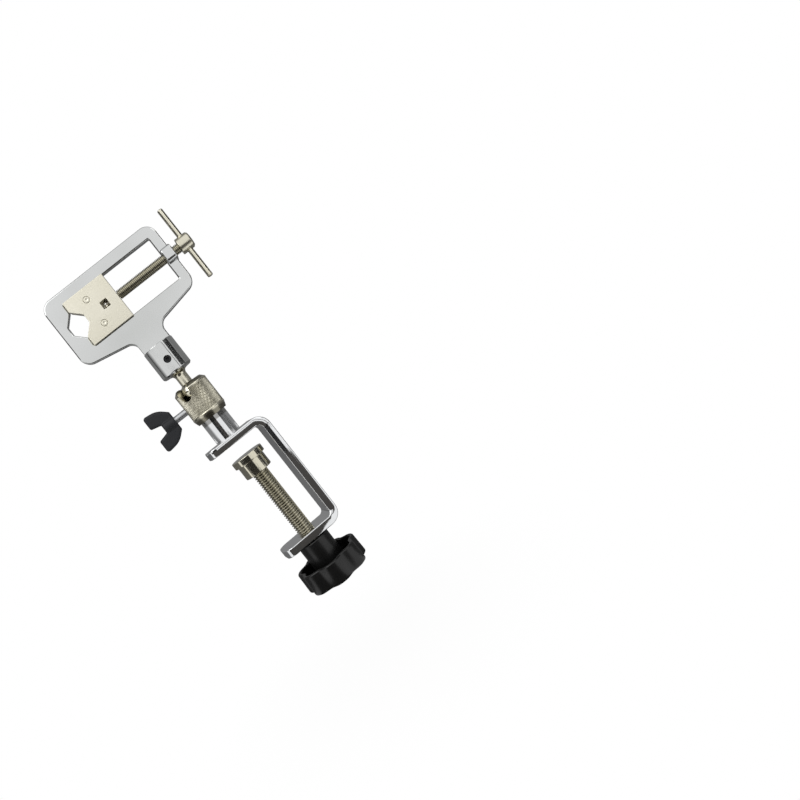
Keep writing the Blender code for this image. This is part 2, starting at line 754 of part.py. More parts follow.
def jaw(parent):
    """A block in the window between two riveted plates. The parent is on the screw's axis at the seam."""
    block_half = WINDOW_HEIGHT / 2 - SEAT_GAP
    plate_half = JAW_PLATE_HEIGHT / 2
    plate_inner = FRAME_THICKNESS / 2 + SEAT_GAP
    plate_y = plate_inner + JAW_PLATE_THICKNESS / 2
    plate_outer = plate_inner + JAW_PLATE_THICKNESS
    rivets = {"jaw_rivet_upper": RIVET_SPACING / 2, "jaw_rivet_lower": -RIVET_SPACING / 2}
    hole_radius = RIVET_DIAMETER / 2 + RIVET_GAP
    rivet_holes = [circle(hole_radius, SMALL_STEPS, (RIVET_FROM_SEAM, z)) for z in rivets.values()]

    def outline(half_height):
        below = [(0, -half_height), (JAW_LENGTH, -half_height)]
        above = [(JAW_LENGTH, half_height), (0, half_height)]
        return below + above + vee(0, VEE_DEPTH)

    def port(width):
        left = PORT_FROM_SEAM
        half = PORT_HEIGHT / 2
        return [(left, -half), (left + width, -half), (left + width, half), (left, half)]

    block_holes = [*rivet_holes, port(POCKET_WIDTH)]
    block_mesh = plate(outline(block_half), FRAME_THICKNESS, block_holes)
    block = piece("jaw_block", block_mesh, NICKEL, parent, rotation=FACING_FRONT)
    tip_hole = rod(
        "tip_hole",
        TIP_DIAMETER / 2 + SEAT_GAP,
        PORT_FROM_SEAM + POCKET_WIDTH / 2,
        JAW_LENGTH + JAW_THREAD,
        None,
        parent,
        rotation=TOWARDS_RIGHT,
    )
    cut(block, tip_hole)
    front_holes = [*rivet_holes, port(PORT_WIDTH)]
    front = plate(outline(plate_half), JAW_PLATE_THICKNESS, front_holes)
    piece("jaw_front_plate", front, NICKEL, parent, (0, -plate_y, 0), FACING_FRONT)
    rear = plate(outline(plate_half), JAW_PLATE_THICKNESS, rivet_holes)
    piece("jaw_rear_plate", rear, NICKEL, parent, (0, plate_y, 0), FACING_FRONT)

    radius = RIVET_DIAMETER / 2
    dimple = RIVET_DIMPLE / 2
    sunk = plate_outer - RIVET_DIMPLE_DEPTH
    profile = [
        (0, sunk),
        (dimple, plate_outer),
        (radius, plate_outer),
        (radius, -plate_outer),
        (dimple, -plate_outer),
        (0, -sunk),
    ]
    for name, height in rivets.items():
        turned(name, profile, NICKEL, parent, (RIVET_FROM_SEAM, 0, height), FACING_FRONT, SMALL_STEPS)


def jaw_screw(parent):
    """The jaw's screw, its clip and its T bar. The parent is at the seam; its Z points at the bar."""
    thread = JAW_THREAD / 2
    tip = TIP_DIAMETER / 2
    head = SCREW_HEAD_DIAMETER / 2
    groove = tip - CLIP_BITE
    shoulder = JAW_LENGTH + SEAT_GAP
    head_foot = shoulder + JAW_THREAD_LENGTH
    head_top = head_foot + SCREW_HEAD_LENGTH
    clip_right = PORT_FROM_SEAM + POCKET_WIDTH - SEAT_GAP
    clip_left = clip_right - CLIP_THICKNESS
    groove_right = clip_right + SEAT_GAP / 2
    groove_left = clip_left - SEAT_GAP / 2
    profile = [
        (0, head_top),
        (head - SCREW_HEAD_CHAMFER, head_top),
        (head, head_top - SCREW_HEAD_CHAMFER),
        (head, head_foot),
        (thread, head_foot),
        (thread, shoulder),
        (tip, shoulder),
        (tip, groove_right),
        (groove, groove_right),
        (groove, groove_left),
        (tip, groove_left),
        (tip, clip_left - TIP_PAST_CLIP),
        (0, clip_left - TIP_PAST_CLIP),
    ]
    screw = turned("jaw_screw", profile, NICKEL, parent, steps=SMALL_STEPS)
    bar_place = (0, 0, head_foot + SCREW_HEAD_LENGTH / 2)
    bar = BAR_DIAMETER / 2
    bar_half = BAR_LENGTH / 2
    cut(screw, rod("bar_hole", bar + RIVET_GAP, -bar_half, bar_half, None, parent, bar_place, TOWARDS_LEFT))
    clip_inner = groove + RIVET_GAP
    clip = [
        (clip_inner, clip_right),
        (CLIP_DIAMETER / 2, clip_right),
        (CLIP_DIAMETER / 2, clip_left),
        (clip_inner, clip_left),
    ]
    turned("screw_clip", clip, SPRING_STEEL, parent, steps=SMALL_STEPS, ring=True)

    end_centre = (bar - BAR_END_RADIUS, bar_half - BAR_END_RADIUS)
    top_end = arc(end_centre, BAR_END_RADIUS, QUARTER, 0, BAR_END_STEPS)
    low_end = [(r, -z) for r, z in reversed(top_end)]
    bar_profile = [(0, bar_half), *top_end, *low_end, (0, -bar_half)]
    turned("t_bar", bar_profile, NICKEL, parent, bar_place, TOWARDS_LEFT, SMALL_STEPS)


base = axis("bench_seat", None, (0, 0, 0))
bench_clamp(base)
post(base)

pad_axis = axis("pad_axis", base, (SCREW_ASIDE, 0, -PAD_DROP))
pad(pad_axis)
clamp_screw(axis("clamp_screw_axis", pad_axis, (0, 0, 0)))

collar_axis = axis("collar_axis", base, (0, 0, COLLAR_FOOT_Z))
collar(collar_axis)
lock_axis = axis("lock_axis", collar_axis, (0, 0, LOCK_Z - COLLAR_FOOT_Z), TOWARDS_LEFT)
lock_slug(lock_axis)
wing_screw(axis("wing_axis", lock_axis, (0, 0, 0)))

ball_centre = axis("ball_centre", collar_axis, (0, 0, BALL_Z - COLLAR_FOOT_Z))
ball_stud(ball_centre)
head_axis = axis("head_axis", ball_centre, (0, 0, STUD_REACH))
vise_frame(head_axis)
set_screw(head_axis)

jaw_axis = axis("jaw_axis", head_axis, (SEAM_X, 0, SCREW_ABOVE_NECK))
jaw(jaw_axis)
jaw_screw(axis("jaw_screw_axis", jaw_axis, (0, 0, 0), TOWARDS_RIGHT))
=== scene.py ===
import math

import bmesh
import bpy
import numpy
from mathutils import Matrix, Vector
from mathutils.geometry import tessellate_polygon


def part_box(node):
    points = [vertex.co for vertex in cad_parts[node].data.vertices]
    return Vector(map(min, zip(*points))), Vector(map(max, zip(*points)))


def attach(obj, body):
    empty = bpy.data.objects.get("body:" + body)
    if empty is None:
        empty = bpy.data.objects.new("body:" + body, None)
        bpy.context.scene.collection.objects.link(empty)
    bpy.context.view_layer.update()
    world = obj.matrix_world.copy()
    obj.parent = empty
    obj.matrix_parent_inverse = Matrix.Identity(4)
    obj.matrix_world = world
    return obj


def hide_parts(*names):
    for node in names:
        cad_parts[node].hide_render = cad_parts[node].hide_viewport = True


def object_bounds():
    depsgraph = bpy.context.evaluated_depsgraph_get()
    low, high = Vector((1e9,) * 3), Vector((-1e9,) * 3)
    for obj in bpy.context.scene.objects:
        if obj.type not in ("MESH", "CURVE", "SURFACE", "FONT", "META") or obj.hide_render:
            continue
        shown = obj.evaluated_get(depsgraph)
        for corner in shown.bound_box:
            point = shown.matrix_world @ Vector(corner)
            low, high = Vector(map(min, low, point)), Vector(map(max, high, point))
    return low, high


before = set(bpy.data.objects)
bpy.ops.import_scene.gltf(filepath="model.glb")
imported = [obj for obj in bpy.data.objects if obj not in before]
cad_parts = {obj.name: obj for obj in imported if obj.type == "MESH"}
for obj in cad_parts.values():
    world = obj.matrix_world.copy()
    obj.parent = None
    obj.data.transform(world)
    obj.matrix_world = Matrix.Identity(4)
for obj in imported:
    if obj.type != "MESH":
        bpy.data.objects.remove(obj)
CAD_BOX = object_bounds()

# Bench strip: the C that grips the bench, one flat steel bar bent twice at a tight radius.
# Its corners are ground round, its edges are broken, the lower arm is tapped, and the whole
# is polished and chromed.
MM = 0.001
QUARTER = math.pi / 2
FULL_TURN = 2 * math.pi
MERGE = 1e-7
SMOOTH_ANGLE = math.radians(32)
STRIP_LOW, STRIP_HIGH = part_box("clamp_frame")
STRIP_THICKNESS = STRIP_HIGH.z
STRIP_HALF = STRIP_THICKNESS / 2
STRIP_HALF_WIDTH = 10.0 * MM
STRIP_BACK = 22.7 * MM
ARM_REACH = 17.3 * MM
CLAMP_TURN = math.radians(9)  # on its post, away from the head
STRIP_EDGE = 0.6 * MM
STRIP_EDGE_STEPS = 5
EDGE_CROWN = 0.2 * MM
SPINE_CROWN = 0.3 * MM
CROWN_APEX = 0.6
CROWN_STEPS = 8
BEND_SWELL = 0.015
STRIP_INNER_BEND = 3.0 * MM
STRIP_BEND_STEPS = 14
ARM_CORNER = 6.0 * MM
ARM_CORNER_STEPS = 10
TAPPED_HOLE = 5.3 * MM
HOLE_COUNTERSINK = 0.8 * MM
ROUND_STEPS = 64


def settle(mesh):
    """Welds doubled points, drops slivers, turns the faces outwards and shades the curves smooth."""
    work = bmesh.new()
    work.from_mesh(mesh)
    bmesh.ops.remove_doubles(work, verts=work.verts, dist=MERGE)
    bmesh.ops.dissolve_degenerate(work, edges=work.edges, dist=MERGE)
    bmesh.ops.recalc_face_normals(work, faces=work.faces)
    work.to_mesh(mesh)
    work.free()
    mesh.shade_smooth()
    mesh.set_sharp_from_angle(angle=SMOOTH_ANGLE)
    return mesh


def skin(rows, loop=False):
    """A closed surface over rows of points, each row a ring. Without loop its end rows shrink to points."""
    grid = numpy.array(rows)
    count, around, _ = grid.shape
    index = numpy.arange(count * around).reshape(count, around)
    here = index if loop else index[:-1]
    there = numpy.roll(index, -1, axis=0) if loop else index[1:]
    quads = numpy.stack([here, numpy.roll(here, -1, axis=1), numpy.roll(there, -1, axis=1), there], axis=-1)
    mesh = bpy.data.meshes.new("skin")
    mesh.from_pydata(grid.reshape(-1, 3).tolist(), [], quads.reshape(-1, 4).tolist())
    return settle(mesh)


def ring_row(radius, height, steps=ROUND_STEPS):
    angles = [FULL_TURN * step / steps for step in range(steps)]
    return [(radius * math.cos(a), radius * math.sin(a), height) for a in angles]


def turned(profile, steps=ROUND_STEPS, loop=False):
    """A lathe shape about Z from (radius, height) points."""
    return skin([ring_row(radius, height, steps) for radius, height in profile], loop)


def placed(name, data):
    made = bpy.data.objects.new(name, data)
    bpy.context.scene.collection.objects.link(made)
    return made


def as_made(piece):
    """The piece's mesh after its modifiers."""
    depsgraph = bpy.context.evaluated_depsgraph_get()
    return bpy.data.meshes.new_from_object(piece.evaluated_get(depsgraph))


def carve(mesh, tool, operation="DIFFERENCE"):
    """The mesh after one cut or join with a second mesh, which is used up."""
    blank = placed("blank", mesh)
    cutter = placed("cutter", tool)
    step = blank.modifiers.new("step", "BOOLEAN")
    step.operation = operation
    step.object = cutter
    step.solver = "MANIFOLD"
    result = as_made(blank)
    for made in (blank, cutter):
        bpy.data.objects.remove(made)
    return settle(result)


def fit(name, mesh, finish, body, slot, *nodes):
    """Puts a finished piece on its body in place of the CAD nodes that it stands for."""
    mesh.materials.clear()
    mesh.materials.append(finish)
    piece = placed(name, mesh)
    even = piece.modifiers.new("even_shading", "WEIGHTED_NORMAL")
    even.keep_sharp = True
    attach(piece, body)
    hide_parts(*nodes)
    return piece


DARK_TONE = (0.09, 0.08, 0.055)
NOISE_LOW = 0.3
NOISE_HIGH = 0.7
MARK_DETAIL = 5
SMEAR_DETAIL = 4
MARK_STRENGTH = 0.5


def shade(tree, kind, inputs, **settings):
    """A shader node. Each input has a value, or the output that feeds it."""
    made = tree.nodes.new("ShaderNode" + kind)
    for name, value in settings.items():
        setattr(made, name, value)
    feed(tree, made, inputs)
    return made


def feed(tree, made, inputs):
    for socket, source in inputs.items():
        if isinstance(source, bpy.types.NodeSocket):
            tree.links.new(source, made.inputs[socket])
        else:
            made.inputs[socket].default_value = source


def uneven(tree, noise, gloss):
    """A roughness that follows a noise between two values."""
    limits = {"From Min": NOISE_LOW, "From Max": NOISE_HIGH, "To Min": gloss[0], "To Max": gloss[1]}
    return shade(tree, "MapRange", {"Value": noise.outputs["Fac"], **limits}).outputs["Result"]


def tinted(tree, factor, first, second, low=0, high=1):
    """A colour that goes from the first to the second between two values of the factor."""
    tint = shade(tree, "ValToRGB", {"Fac": factor})
    for stop, position, colour in zip(tint.color_ramp.elements, (low, high), (first, second)):
        stop.position = position
        stop.color = (*colour, 1)
    return tint.outputs["Color"]


def plated(name, dull, bright, gloss, grain, relief=0.004 * MM, smear=55, darkened=None):
    """A plated metal: smears in its colour, uneven gloss, grain along the working marks. The last
    argument gives a centre, the ways across its axis, the radii between which the colour goes over
    to a dark tone, and how much of the metal's own colour shows through there."""
    finish = bpy.data.materials.new(name)
    finish.use_nodes = True
    tree = finish.node_tree
    place = shade(tree, "TexCoord", {}).outputs["Object"]
    marks_way = shade(tree, "Mapping", {"Vector": place, "Scale": grain})
    marks_at = {"Vector": marks_way.outputs["Vector"], "Scale": 1, "Detail": MARK_DETAIL}
    marks = shade(tree, "TexNoise", marks_at)
    smears = shade(tree, "TexNoise", {"Vector": place, "Scale": smear, "Detail": SMEAR_DETAIL})
    colour = tinted(tree, smears.outputs["Fac"], dull, bright, NOISE_LOW, NOISE_HIGH)
    # Near the given axis the colour goes over to a dark tone.
    if darkened:
        centre, across, deep, clear, through = darkened
        from_axis = shade(tree, "VectorMath", {0: place, 1: centre}, operation="SUBTRACT")
        apart = {0: from_axis.outputs["Vector"], 1: across}
        sideways = shade(tree, "VectorMath", apart, operation="MULTIPLY")
        radius = shade(tree, "VectorMath", {0: sideways.outputs["Vector"]}, operation="LENGTH")
        limits = {"From Min": deep, "From Max": clear, "To Min": through}
        grooves = shade(tree, "MapRange", {"Value": radius.outputs["Value"], **limits})
        layers = {"Factor": grooves.outputs["Result"], "A": (*DARK_TONE, 1), "B": colour}
        colour = shade(tree, "Mix", layers, data_type="RGBA").outputs["Result"]
    height = {"Height": marks.outputs["Fac"], "Strength": MARK_STRENGTH, "Distance": relief}
    skin_marks = shade(tree, "Bump", height)
    look = {"Metallic": 1, "Base Color": colour, "Roughness": uneven(tree, marks, gloss)}
    feed(tree, tree.nodes["Principled BSDF"], {**look, "Normal": skin_marks.outputs["Normal"]})
    return finish


def strip_section(half_width, half_thick, radius, crown, apex, swell):
    """Points round the bar's section, across and through. Its narrow edges are crowned, highest at the
    apex, and in a bend they swell towards the inside."""
    straight = half_thick - radius
    points = []
    for quarter, (side, face) in enumerate(((1, 1), (-1, 1), (-1, -1), (1, -1))):
        for step in range(STRIP_EDGE_STEPS + 1):
            angle = QUARTER * (quarter + step / STRIP_EDGE_STEPS)
            across = side * (half_width - radius) + radius * math.cos(angle)
            points.append((across, face * straight + radius * math.sin(angle)))
        if side == face:
            continue
        for step in range(1, CROWN_STEPS):
            points.append((side * half_width, face * straight * (1 - 2 * step / CROWN_STEPS)))
    shaped = []
    for across, through in points:
        share = through / half_thick
        lower = math.copysign(crown * (share - apex) ** 2, across)
        shaped.append(((across - lower) * (1 - swell * share), through))
    return shaped


def strip_row(x, z, normal, half_width, half_thick, radius, swell=0):
    crown = SPINE_CROWN + (EDGE_CROWN - SPINE_CROWN) * abs(normal[1])
    apex = CROWN_APEX * (1 - 2 * min(normal[1], 0) ** 2)
    section = strip_section(half_width, half_thick, radius, crown, apex, swell)
    return [(x + normal[0] * through, across, z + normal[1] * through) for across, through in section]


def arm_end(along):
    """Half the bar's width, and how far its skin draws in, at a distance from the end of an arm."""
    off = max(ARM_CORNER - along, 0)
    half_width = STRIP_HALF_WIDTH - ARM_CORNER + math.sqrt(ARM_CORNER**2 - off**2)
    lip = max(STRIP_EDGE - along, 0)
    return half_width, STRIP_EDGE - math.sqrt(STRIP_EDGE**2 - lip**2)


end_steps = [STRIP_EDGE * (1 - math.cos(QUARTER * i / STRIP_EDGE_STEPS)) for i in range(STRIP_EDGE_STEPS + 1)]
corner_angles = [QUARTER * i / ARM_CORNER_STEPS for i in range(ARM_CORNER_STEPS + 1)]
corner_steps = [ARM_CORNER * (1 - math.cos(angle)) for angle in corner_angles]
end_steps += [along for along in corner_steps if along > STRIP_EDGE]
upper_end = []
lower_end = []
for along in end_steps:
    half_width, drawn = arm_end(along)
    shape = (half_width - drawn, STRIP_HALF - drawn, STRIP_EDGE - drawn)
    upper_end.append(strip_row(along - ARM_REACH, STRIP_HALF, (0, 1), *shape))
    lower_end.append(strip_row(along - ARM_REACH, STRIP_LOW.z + STRIP_HALF, (0, -1), *shape))
bend_radius = STRIP_INNER_BEND + STRIP_HALF
bend_x = STRIP_BACK - STRIP_HALF - bend_radius
bends = []
for bend_z, first in ((STRIP_HALF - bend_radius, QUARTER), (STRIP_LOW.z + STRIP_HALF + bend_radius, 0)):
    for step in range(STRIP_BEND_STEPS + 1):
        angle = first - QUARTER * step / STRIP_BEND_STEPS
        out = (math.cos(angle), math.sin(angle))
        x = bend_x + bend_radius * out[0]
        z = bend_z + bend_radius * out[1]
        swell = BEND_SWELL * math.sin(math.pi * step / STRIP_BEND_STEPS)
        bends.append(strip_row(x, z, out, STRIP_HALF_WIDTH, STRIP_HALF, STRIP_EDGE, swell))
rows = [*upper_end, *bends, *reversed(lower_end)]
closing = [[tuple(numpy.mean(row, axis=0))] * len(row) for row in (rows[0], rows[-1])]
strip = skin([closing[0], *rows, closing[1]])
hole_top = STRIP_LOW.z + STRIP_THICKNESS
hole_mouth = TAPPED_HOLE + HOLE_COUNTERSINK + STRIP_THICKNESS
hole_profile = [
    (0, hole_top + STRIP_THICKNESS),
    (hole_mouth, hole_top + STRIP_THICKNESS),
    (TAPPED_HOLE, hole_top - HOLE_COUNTERSINK),
    (TAPPED_HOLE, STRIP_LOW.z + HOLE_COUNTERSINK),
    (hole_mouth, STRIP_LOW.z - STRIP_THICKNESS),
    (0, STRIP_LOW.z - STRIP_THICKNESS),
]
strip.transform(Matrix.Rotation(CLAMP_TURN, 4, "Z"))
PAD_LOW, PAD_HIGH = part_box("clamp_pad")
SCREW_CENTRE = ((PAD_LOW.x + PAD_HIGH.x) / 2, 0, 0)
SCREW_ASIDE = Matrix.Translation(SCREW_CENTRE)
tapped_hole = turned(hole_profile)
tapped_hole.transform(SCREW_ASIDE)
strip = carve(strip, tapped_hole)
CHROME = ((0.76, 0.77, 0.78), (0.84, 0.85, 0.86), (0.04, 0.09), (420, 420, 420), 0.0012 * MM)
chrome = plated("polished_chrome", *CHROME)
fit("bench_strip", strip, chrome, "clamp", "chrome", "clamp_frame")

# Post: a round steel bar that stands on the top arm and carries the collar and the ball.
# It is turned with a cup in its top and a V groove for the lock, pressed into the strip,
# and chromed together with it. Its colour is darker in a narrow band just below the collar's foot.
POST_LOW, POST_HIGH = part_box("clamp_post")
BALL_LOW, BALL_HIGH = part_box("ball_stud")
LOCK_LOW, LOCK_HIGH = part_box("lock_slug")
COLLAR_LOW, COLLAR_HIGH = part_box("collar")
POST_RADIUS = POST_HIGH.x
POST_EDGE = 0.5 * MM
POST_SINK = 0.1 * MM
POST_STEPS = 96
BALL_RADIUS = 6.5 * MM
CUP_GAP = 0.3 * MM
CUP_STEPS = 10
DARK_BAND = 2.4 * MM
DARK_BAND_FADE = 0.6 * MM
DARK_BAND_THROUGH = 0.4
LOCK_Z = (LOCK_LOW.z + LOCK_HIGH.z) / 2
LOCK_GROOVE = 1.2 * MM
CORNER_STEPS = 6


def arc(centre, radius, start, end, steps=CORNER_STEPS):
    """Points of an arc from one angle to another, both ends included."""
    angles = [start + (end - start) * step / steps for step in range(steps + 1)]
    return [(centre[0] + radius * math.cos(a), centre[1] + radius * math.sin(a)) for a in angles]


ball_z = BALL_LOW.z + BALL_RADIUS
cup_radius = BALL_RADIUS + CUP_GAP
cup_edge = -math.asin((ball_z - POST_HIGH.z) / cup_radius)
cup = arc((0, ball_z), cup_radius, -QUARTER, cup_edge, CUP_STEPS)
cup[0] = (0, ball_z - cup_radius)
post_profile = [
    *cup,
    *arc((POST_RADIUS - POST_EDGE, POST_HIGH.z - POST_EDGE), POST_EDGE, QUARTER, 0),
    (POST_RADIUS, LOCK_Z + LOCK_GROOVE),
    (POST_RADIUS - LOCK_GROOVE, LOCK_Z),
    (POST_RADIUS, LOCK_Z - LOCK_GROOVE),
    (POST_RADIUS, STRIP_THICKNESS - POST_SINK),
    (0, STRIP_THICKNESS - POST_SINK),
]
# A band of the post just below the collar's foot is coloured darker.
band_below_collar = ((0, 0, COLLAR_LOW.z), (0, 0, 1), DARK_BAND, DARK_BAND + DARK_BAND_FADE, DARK_BAND_THROUGH)
banded_chrome = plated("banded_chrome", *CHROME, darkened=band_below_collar)
fit("post", turned(post_profile, POST_STEPS), banded_chrome, "clamp", "chrome", "clamp_post")

# Clamp screw: the long screw that drives the pad up against the bench, steel with a coarse
# rolled thread. Its plain nose turns inside the pad. Nickel plated, so it is a little yellow
# beside the chrome.
SCREW_LOW, SCREW_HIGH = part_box("clamp_screw")
CLAMP_THREAD = (SCREW_HIGH.x - SCREW_LOW.x) / 2
CLAMP_PITCH = 1.5 * MM
CLAMP_THREAD_DEPTH = 0.88 * MM
NOSE_RADIUS = 4.0 * MM
NOSE_EDGE = 1.0 * MM
NOSE_SHOULDER = PAD_LOW.z - 0.3 * MM
RING_GROOVE = 0.8 * MM
RING_LOW, RING_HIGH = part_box("pad_ring")
RING_GAP = 0.3 * MM
# Each pair is a share of the pitch and a share of the depth, from one crest to the next.
THREAD_FORM = [
    (0.0, 0), (0.1, 0), (0.15, 0.06), (0.43, 0.94), (0.48, 1), (0.62, 1), (0.67, 0.94), (0.95, 0.06)
]


def thread_rows(radius, depth, pitch, bottom, top, steps=ROUND_STEPS):
    """Rows of a right-hand thread, from the bottom up. Past either end they close on the core."""
    core = radius - depth
    turns = math.ceil((top - bottom) / pitch) + 1
    rows = []
    for turn in range(-1, turns):
        for share, sunk in THREAD_FORM:
            row = []
            for step in range(steps):
                angle = FULL_TURN * step / steps
                height = bottom + pitch * (turn + share + step / steps)
                reach = radius - depth * sunk
                if height <= bottom or height >= top:
                    reach = core
                    height = min(max(height, bottom), top)
                row.append((reach * math.cos(angle), reach * math.sin(angle), height))
            rows.append(row)
    return rows


clamp_rows = [
    ring_row(0, SCREW_LOW.z),
    *thread_rows(CLAMP_THREAD, CLAMP_THREAD_DEPTH, CLAMP_PITCH, SCREW_LOW.z, NOSE_SHOULDER),
    ring_row(NOSE_RADIUS, NOSE_SHOULDER),
    ring_row(NOSE_RADIUS, RING_LOW.z - RING_GAP),
    ring_row(NOSE_RADIUS - RING_GROOVE, RING_LOW.z - RING_GAP),
    ring_row(NOSE_RADIUS - RING_GROOVE, RING_HIGH.z + RING_GAP),
    ring_row(NOSE_RADIUS, RING_HIGH.z + RING_GAP),
    ring_row(NOSE_RADIUS, SCREW_HIGH.z - NOSE_EDGE),
    ring_row(NOSE_RADIUS - NOSE_EDGE, SCREW_HIGH.z),
    ring_row(0, SCREW_HIGH.z),
]
NICKEL = ((0.64, 0.61, 0.49), (0.75, 0.72, 0.60))
DARK_THROUGH = 0.35
# The thread's colour goes darker towards its roots.
clamp_nickel = plated(
    "nickel_clamp_thread",
    *NICKEL,
    (0.16, 0.24),
    (90, 90, 2600),
    0.0008 * MM,
    darkened=(SCREW_CENTRE, (1, 1, 0), CLAMP_THREAD - CLAMP_THREAD_DEPTH, CLAMP_THREAD, DARK_THROUGH),
)
clamp_thread = skin(clamp_rows)
clamp_thread.transform(SCREW_ASIDE)
fit("clamp_screw_thread", clamp_thread, clamp_nickel, "clamp_screw", "nickel", "clamp_screw")

# Pad: the stepped foot that presses on the underside of the bench, turned from steel bar and
# nickel plated, with its edges just broken. A spring wire ring inside it snaps round the
# screw's nose, so that it stays still while the screw turns.
PAD_RADIUS = (PAD_HIGH.x - PAD_LOW.x) / 2
PAD_HUB_RADIUS = 8.75 * MM
PAD_STEP_Z = PAD_HIGH.z - 4.2 * MM
PAD_EDGE = 0.45 * MM
PAD_INNER_EDGE = 0.3 * MM
PAD_BORE = NOSE_RADIUS + RING_GAP
PAD_ROOF = SCREW_HIGH.z + 0.6 * MM
RING_SEAT = (RING_HIGH.x - RING_LOW.x) / 2 + RING_GAP


def rounded(corners, steps=CORNER_STEPS):
    """An outline through (x, y, radius) corners, with an arc at each corner that has a radius."""
    points = []
    count = len(corners)
    for index, (x, y, radius) in enumerate(corners):
        if not radius:
            points.append((x, y))
            continue
        before = corners[index - 1]
        after = corners[(index + 1) % count]
        back = math.atan2(before[1] - y, before[0] - x)
        ahead = math.atan2(after[1] - y, after[0] - x)
        opening = (ahead - back + math.pi) % FULL_TURN - math.pi
        middle = back + opening / 2
        reach = radius / math.sin(abs(opening) / 2)
        centre = (x + reach * math.cos(middle), y + reach * math.sin(middle))
        sweep = math.copysign(math.pi - abs(opening), opening)
        first = middle + math.pi + sweep / 2
        points += arc(centre, radius, first, first - sweep, steps)
    return points


def rod(radius, first, last, first_edge, last_edge):
    """A round bar about Z between two heights, with rounded ends."""
    corners = [(0, first, 0), (radius, first, first_edge), (radius, last, last_edge), (0, last, 0)]
    return turned(rounded(corners))


pad_profile = rounded([
    (0, PAD_HIGH.z, 0),
    (PAD_RADIUS, PAD_HIGH.z, PAD_EDGE),
    (PAD_RADIUS, PAD_STEP_Z, PAD_EDGE),
    (PAD_HUB_RADIUS, PAD_STEP_Z, PAD_INNER_EDGE),
    (PAD_HUB_RADIUS, PAD_LOW.z, PAD_EDGE),
    (PAD_BORE, PAD_LOW.z, PAD_INNER_EDGE),
    (PAD_BORE, RING_LOW.z - RING_GAP, 0),
    (RING_SEAT, RING_LOW.z - RING_GAP, 0),
    (RING_SEAT, RING_HIGH.z + RING_GAP, 0),
    (PAD_BORE, RING_HIGH.z + RING_GAP, 0),
    (PAD_BORE, PAD_ROOF, 0),
    (0, PAD_ROOF, 0),
])
upright_nickel = plated("nickel_turned_upright", *NICKEL, (0.07, 0.13), (90, 90, 2600), 0.001 * MM)
pad = turned(pad_profile, POST_STEPS)
pad.transform(SCREW_ASIDE)
fit("pad", pad, upright_nickel, "pad", "nickel", "clamp_pad")


def refinish(node, finish):
    """Gives a CAD node that stays as it is its finish."""
    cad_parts[node].material_slots[0].material = finish


spring_steel = plated("spring_steel", (0.58, 0.58, 0.57), (0.70, 0.70, 0.68), (0.2, 0.36), (700, 700, 3000))
refinish("pad_ring", spring_steel)

# Knob: the seven-lobed hand wheel on the foot of the clamp screw, moulded in black plastic and
# hollow round its hub. A brass bush, moulded into the hub, holds the screw.
KNOB_LOW, KNOB_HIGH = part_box("clamp_knob")
BUSH_LOW, BUSH_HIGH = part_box("knob_insert")
KNOB_REACH = 20.7 * MM
KNOB_LOBES = 7
KNOB_LOBE_STEPS = 26
KNOB_TURN = math.radians(14)  # of its lobes, on the screw
SCALLOP_DEPTH = 2.4 * MM
SCALLOP_POWER = 1.5
RIM_TOP = KNOB_HIGH.z - 12.6 * MM
RIM_WALL = 2.6 * MM
RIM_TOP_EDGE = 1.0 * MM
RIM_FOOT_EDGE = 1.2 * MM
RIM_DRAFT = 0.35 * MM
KNOB_HUB_RADIUS = 10.0 * MM
KNOB_HUB_EDGE = 0.7 * MM
HUB_ROOT_FILLET = 1.0 * MM
BUSH_RECESS = (BUSH_HIGH.x - BUSH_LOW.x) / 2 + 0.3 * MM
RECESS_FOOT = BUSH_LOW.z - 0.3 * MM
HOLLOW_FLOOR = KNOB_LOW.z + RIM_WALL
KNOB_DOME = 0.5 * MM


def knob_row(inset, height, lobed):
    """A ring of the knob: a distance in from the lobed outline, or a plain radius."""
    steps = KNOB_LOBES * KNOB_LOBE_STEPS
    row = []
    for step in range(steps):
        angle = FULL_TURN * step / steps
        scallop = ((1 - math.cos(KNOB_LOBES * angle)) / 2) ** SCALLOP_POWER
        radius = KNOB_REACH - SCALLOP_DEPTH * scallop - inset if lobed else inset
        turn = angle + KNOB_TURN
        row.append((-radius * math.cos(turn), radius * math.sin(turn), height))
    return row


hub_profile = rounded([
    (0, RECESS_FOOT, 0),
    (BUSH_RECESS, RECESS_FOOT, 0),
    (BUSH_RECESS, KNOB_HIGH.z, 0),
    (KNOB_HUB_RADIUS, KNOB_HIGH.z, KNOB_HUB_EDGE),
    (KNOB_HUB_RADIUS, HOLLOW_FLOOR, HUB_ROOT_FILLET),
    (KNOB_HUB_RADIUS + 2 * HUB_ROOT_FILLET, HOLLOW_FLOOR, 0),
])
rim_profile = rounded([
    (RIM_WALL + 3 * HUB_ROOT_FILLET, HOLLOW_FLOOR, 0),
    (RIM_WALL, HOLLOW_FLOOR, HUB_ROOT_FILLET),
    (RIM_WALL, RIM_TOP, RIM_TOP_EDGE),
    (RIM_DRAFT, RIM_TOP, RIM_TOP_EDGE),
    (0, KNOB_LOW.z + KNOB_DOME, RIM_FOOT_EDGE),
    (KNOB_REACH / 2, KNOB_LOW.z, 0),
])
knob_rows = [knob_row(radius, height, False) for radius, height in hub_profile]
knob_rows += [knob_row(inset, height, True) for inset, height in rim_profile]
knob_rows.append(knob_row(0, KNOB_LOW.z, False))


PEBBLE_DETAIL = 3
PEBBLE_STRENGTH = 0.4
HANDLING_SCALE = 140
HANDLING_DETAIL = 5
RUBBED_FROM = 0.52  # how sharp an edge is, as the renderer counts it
RUBBED_TO = 0.64


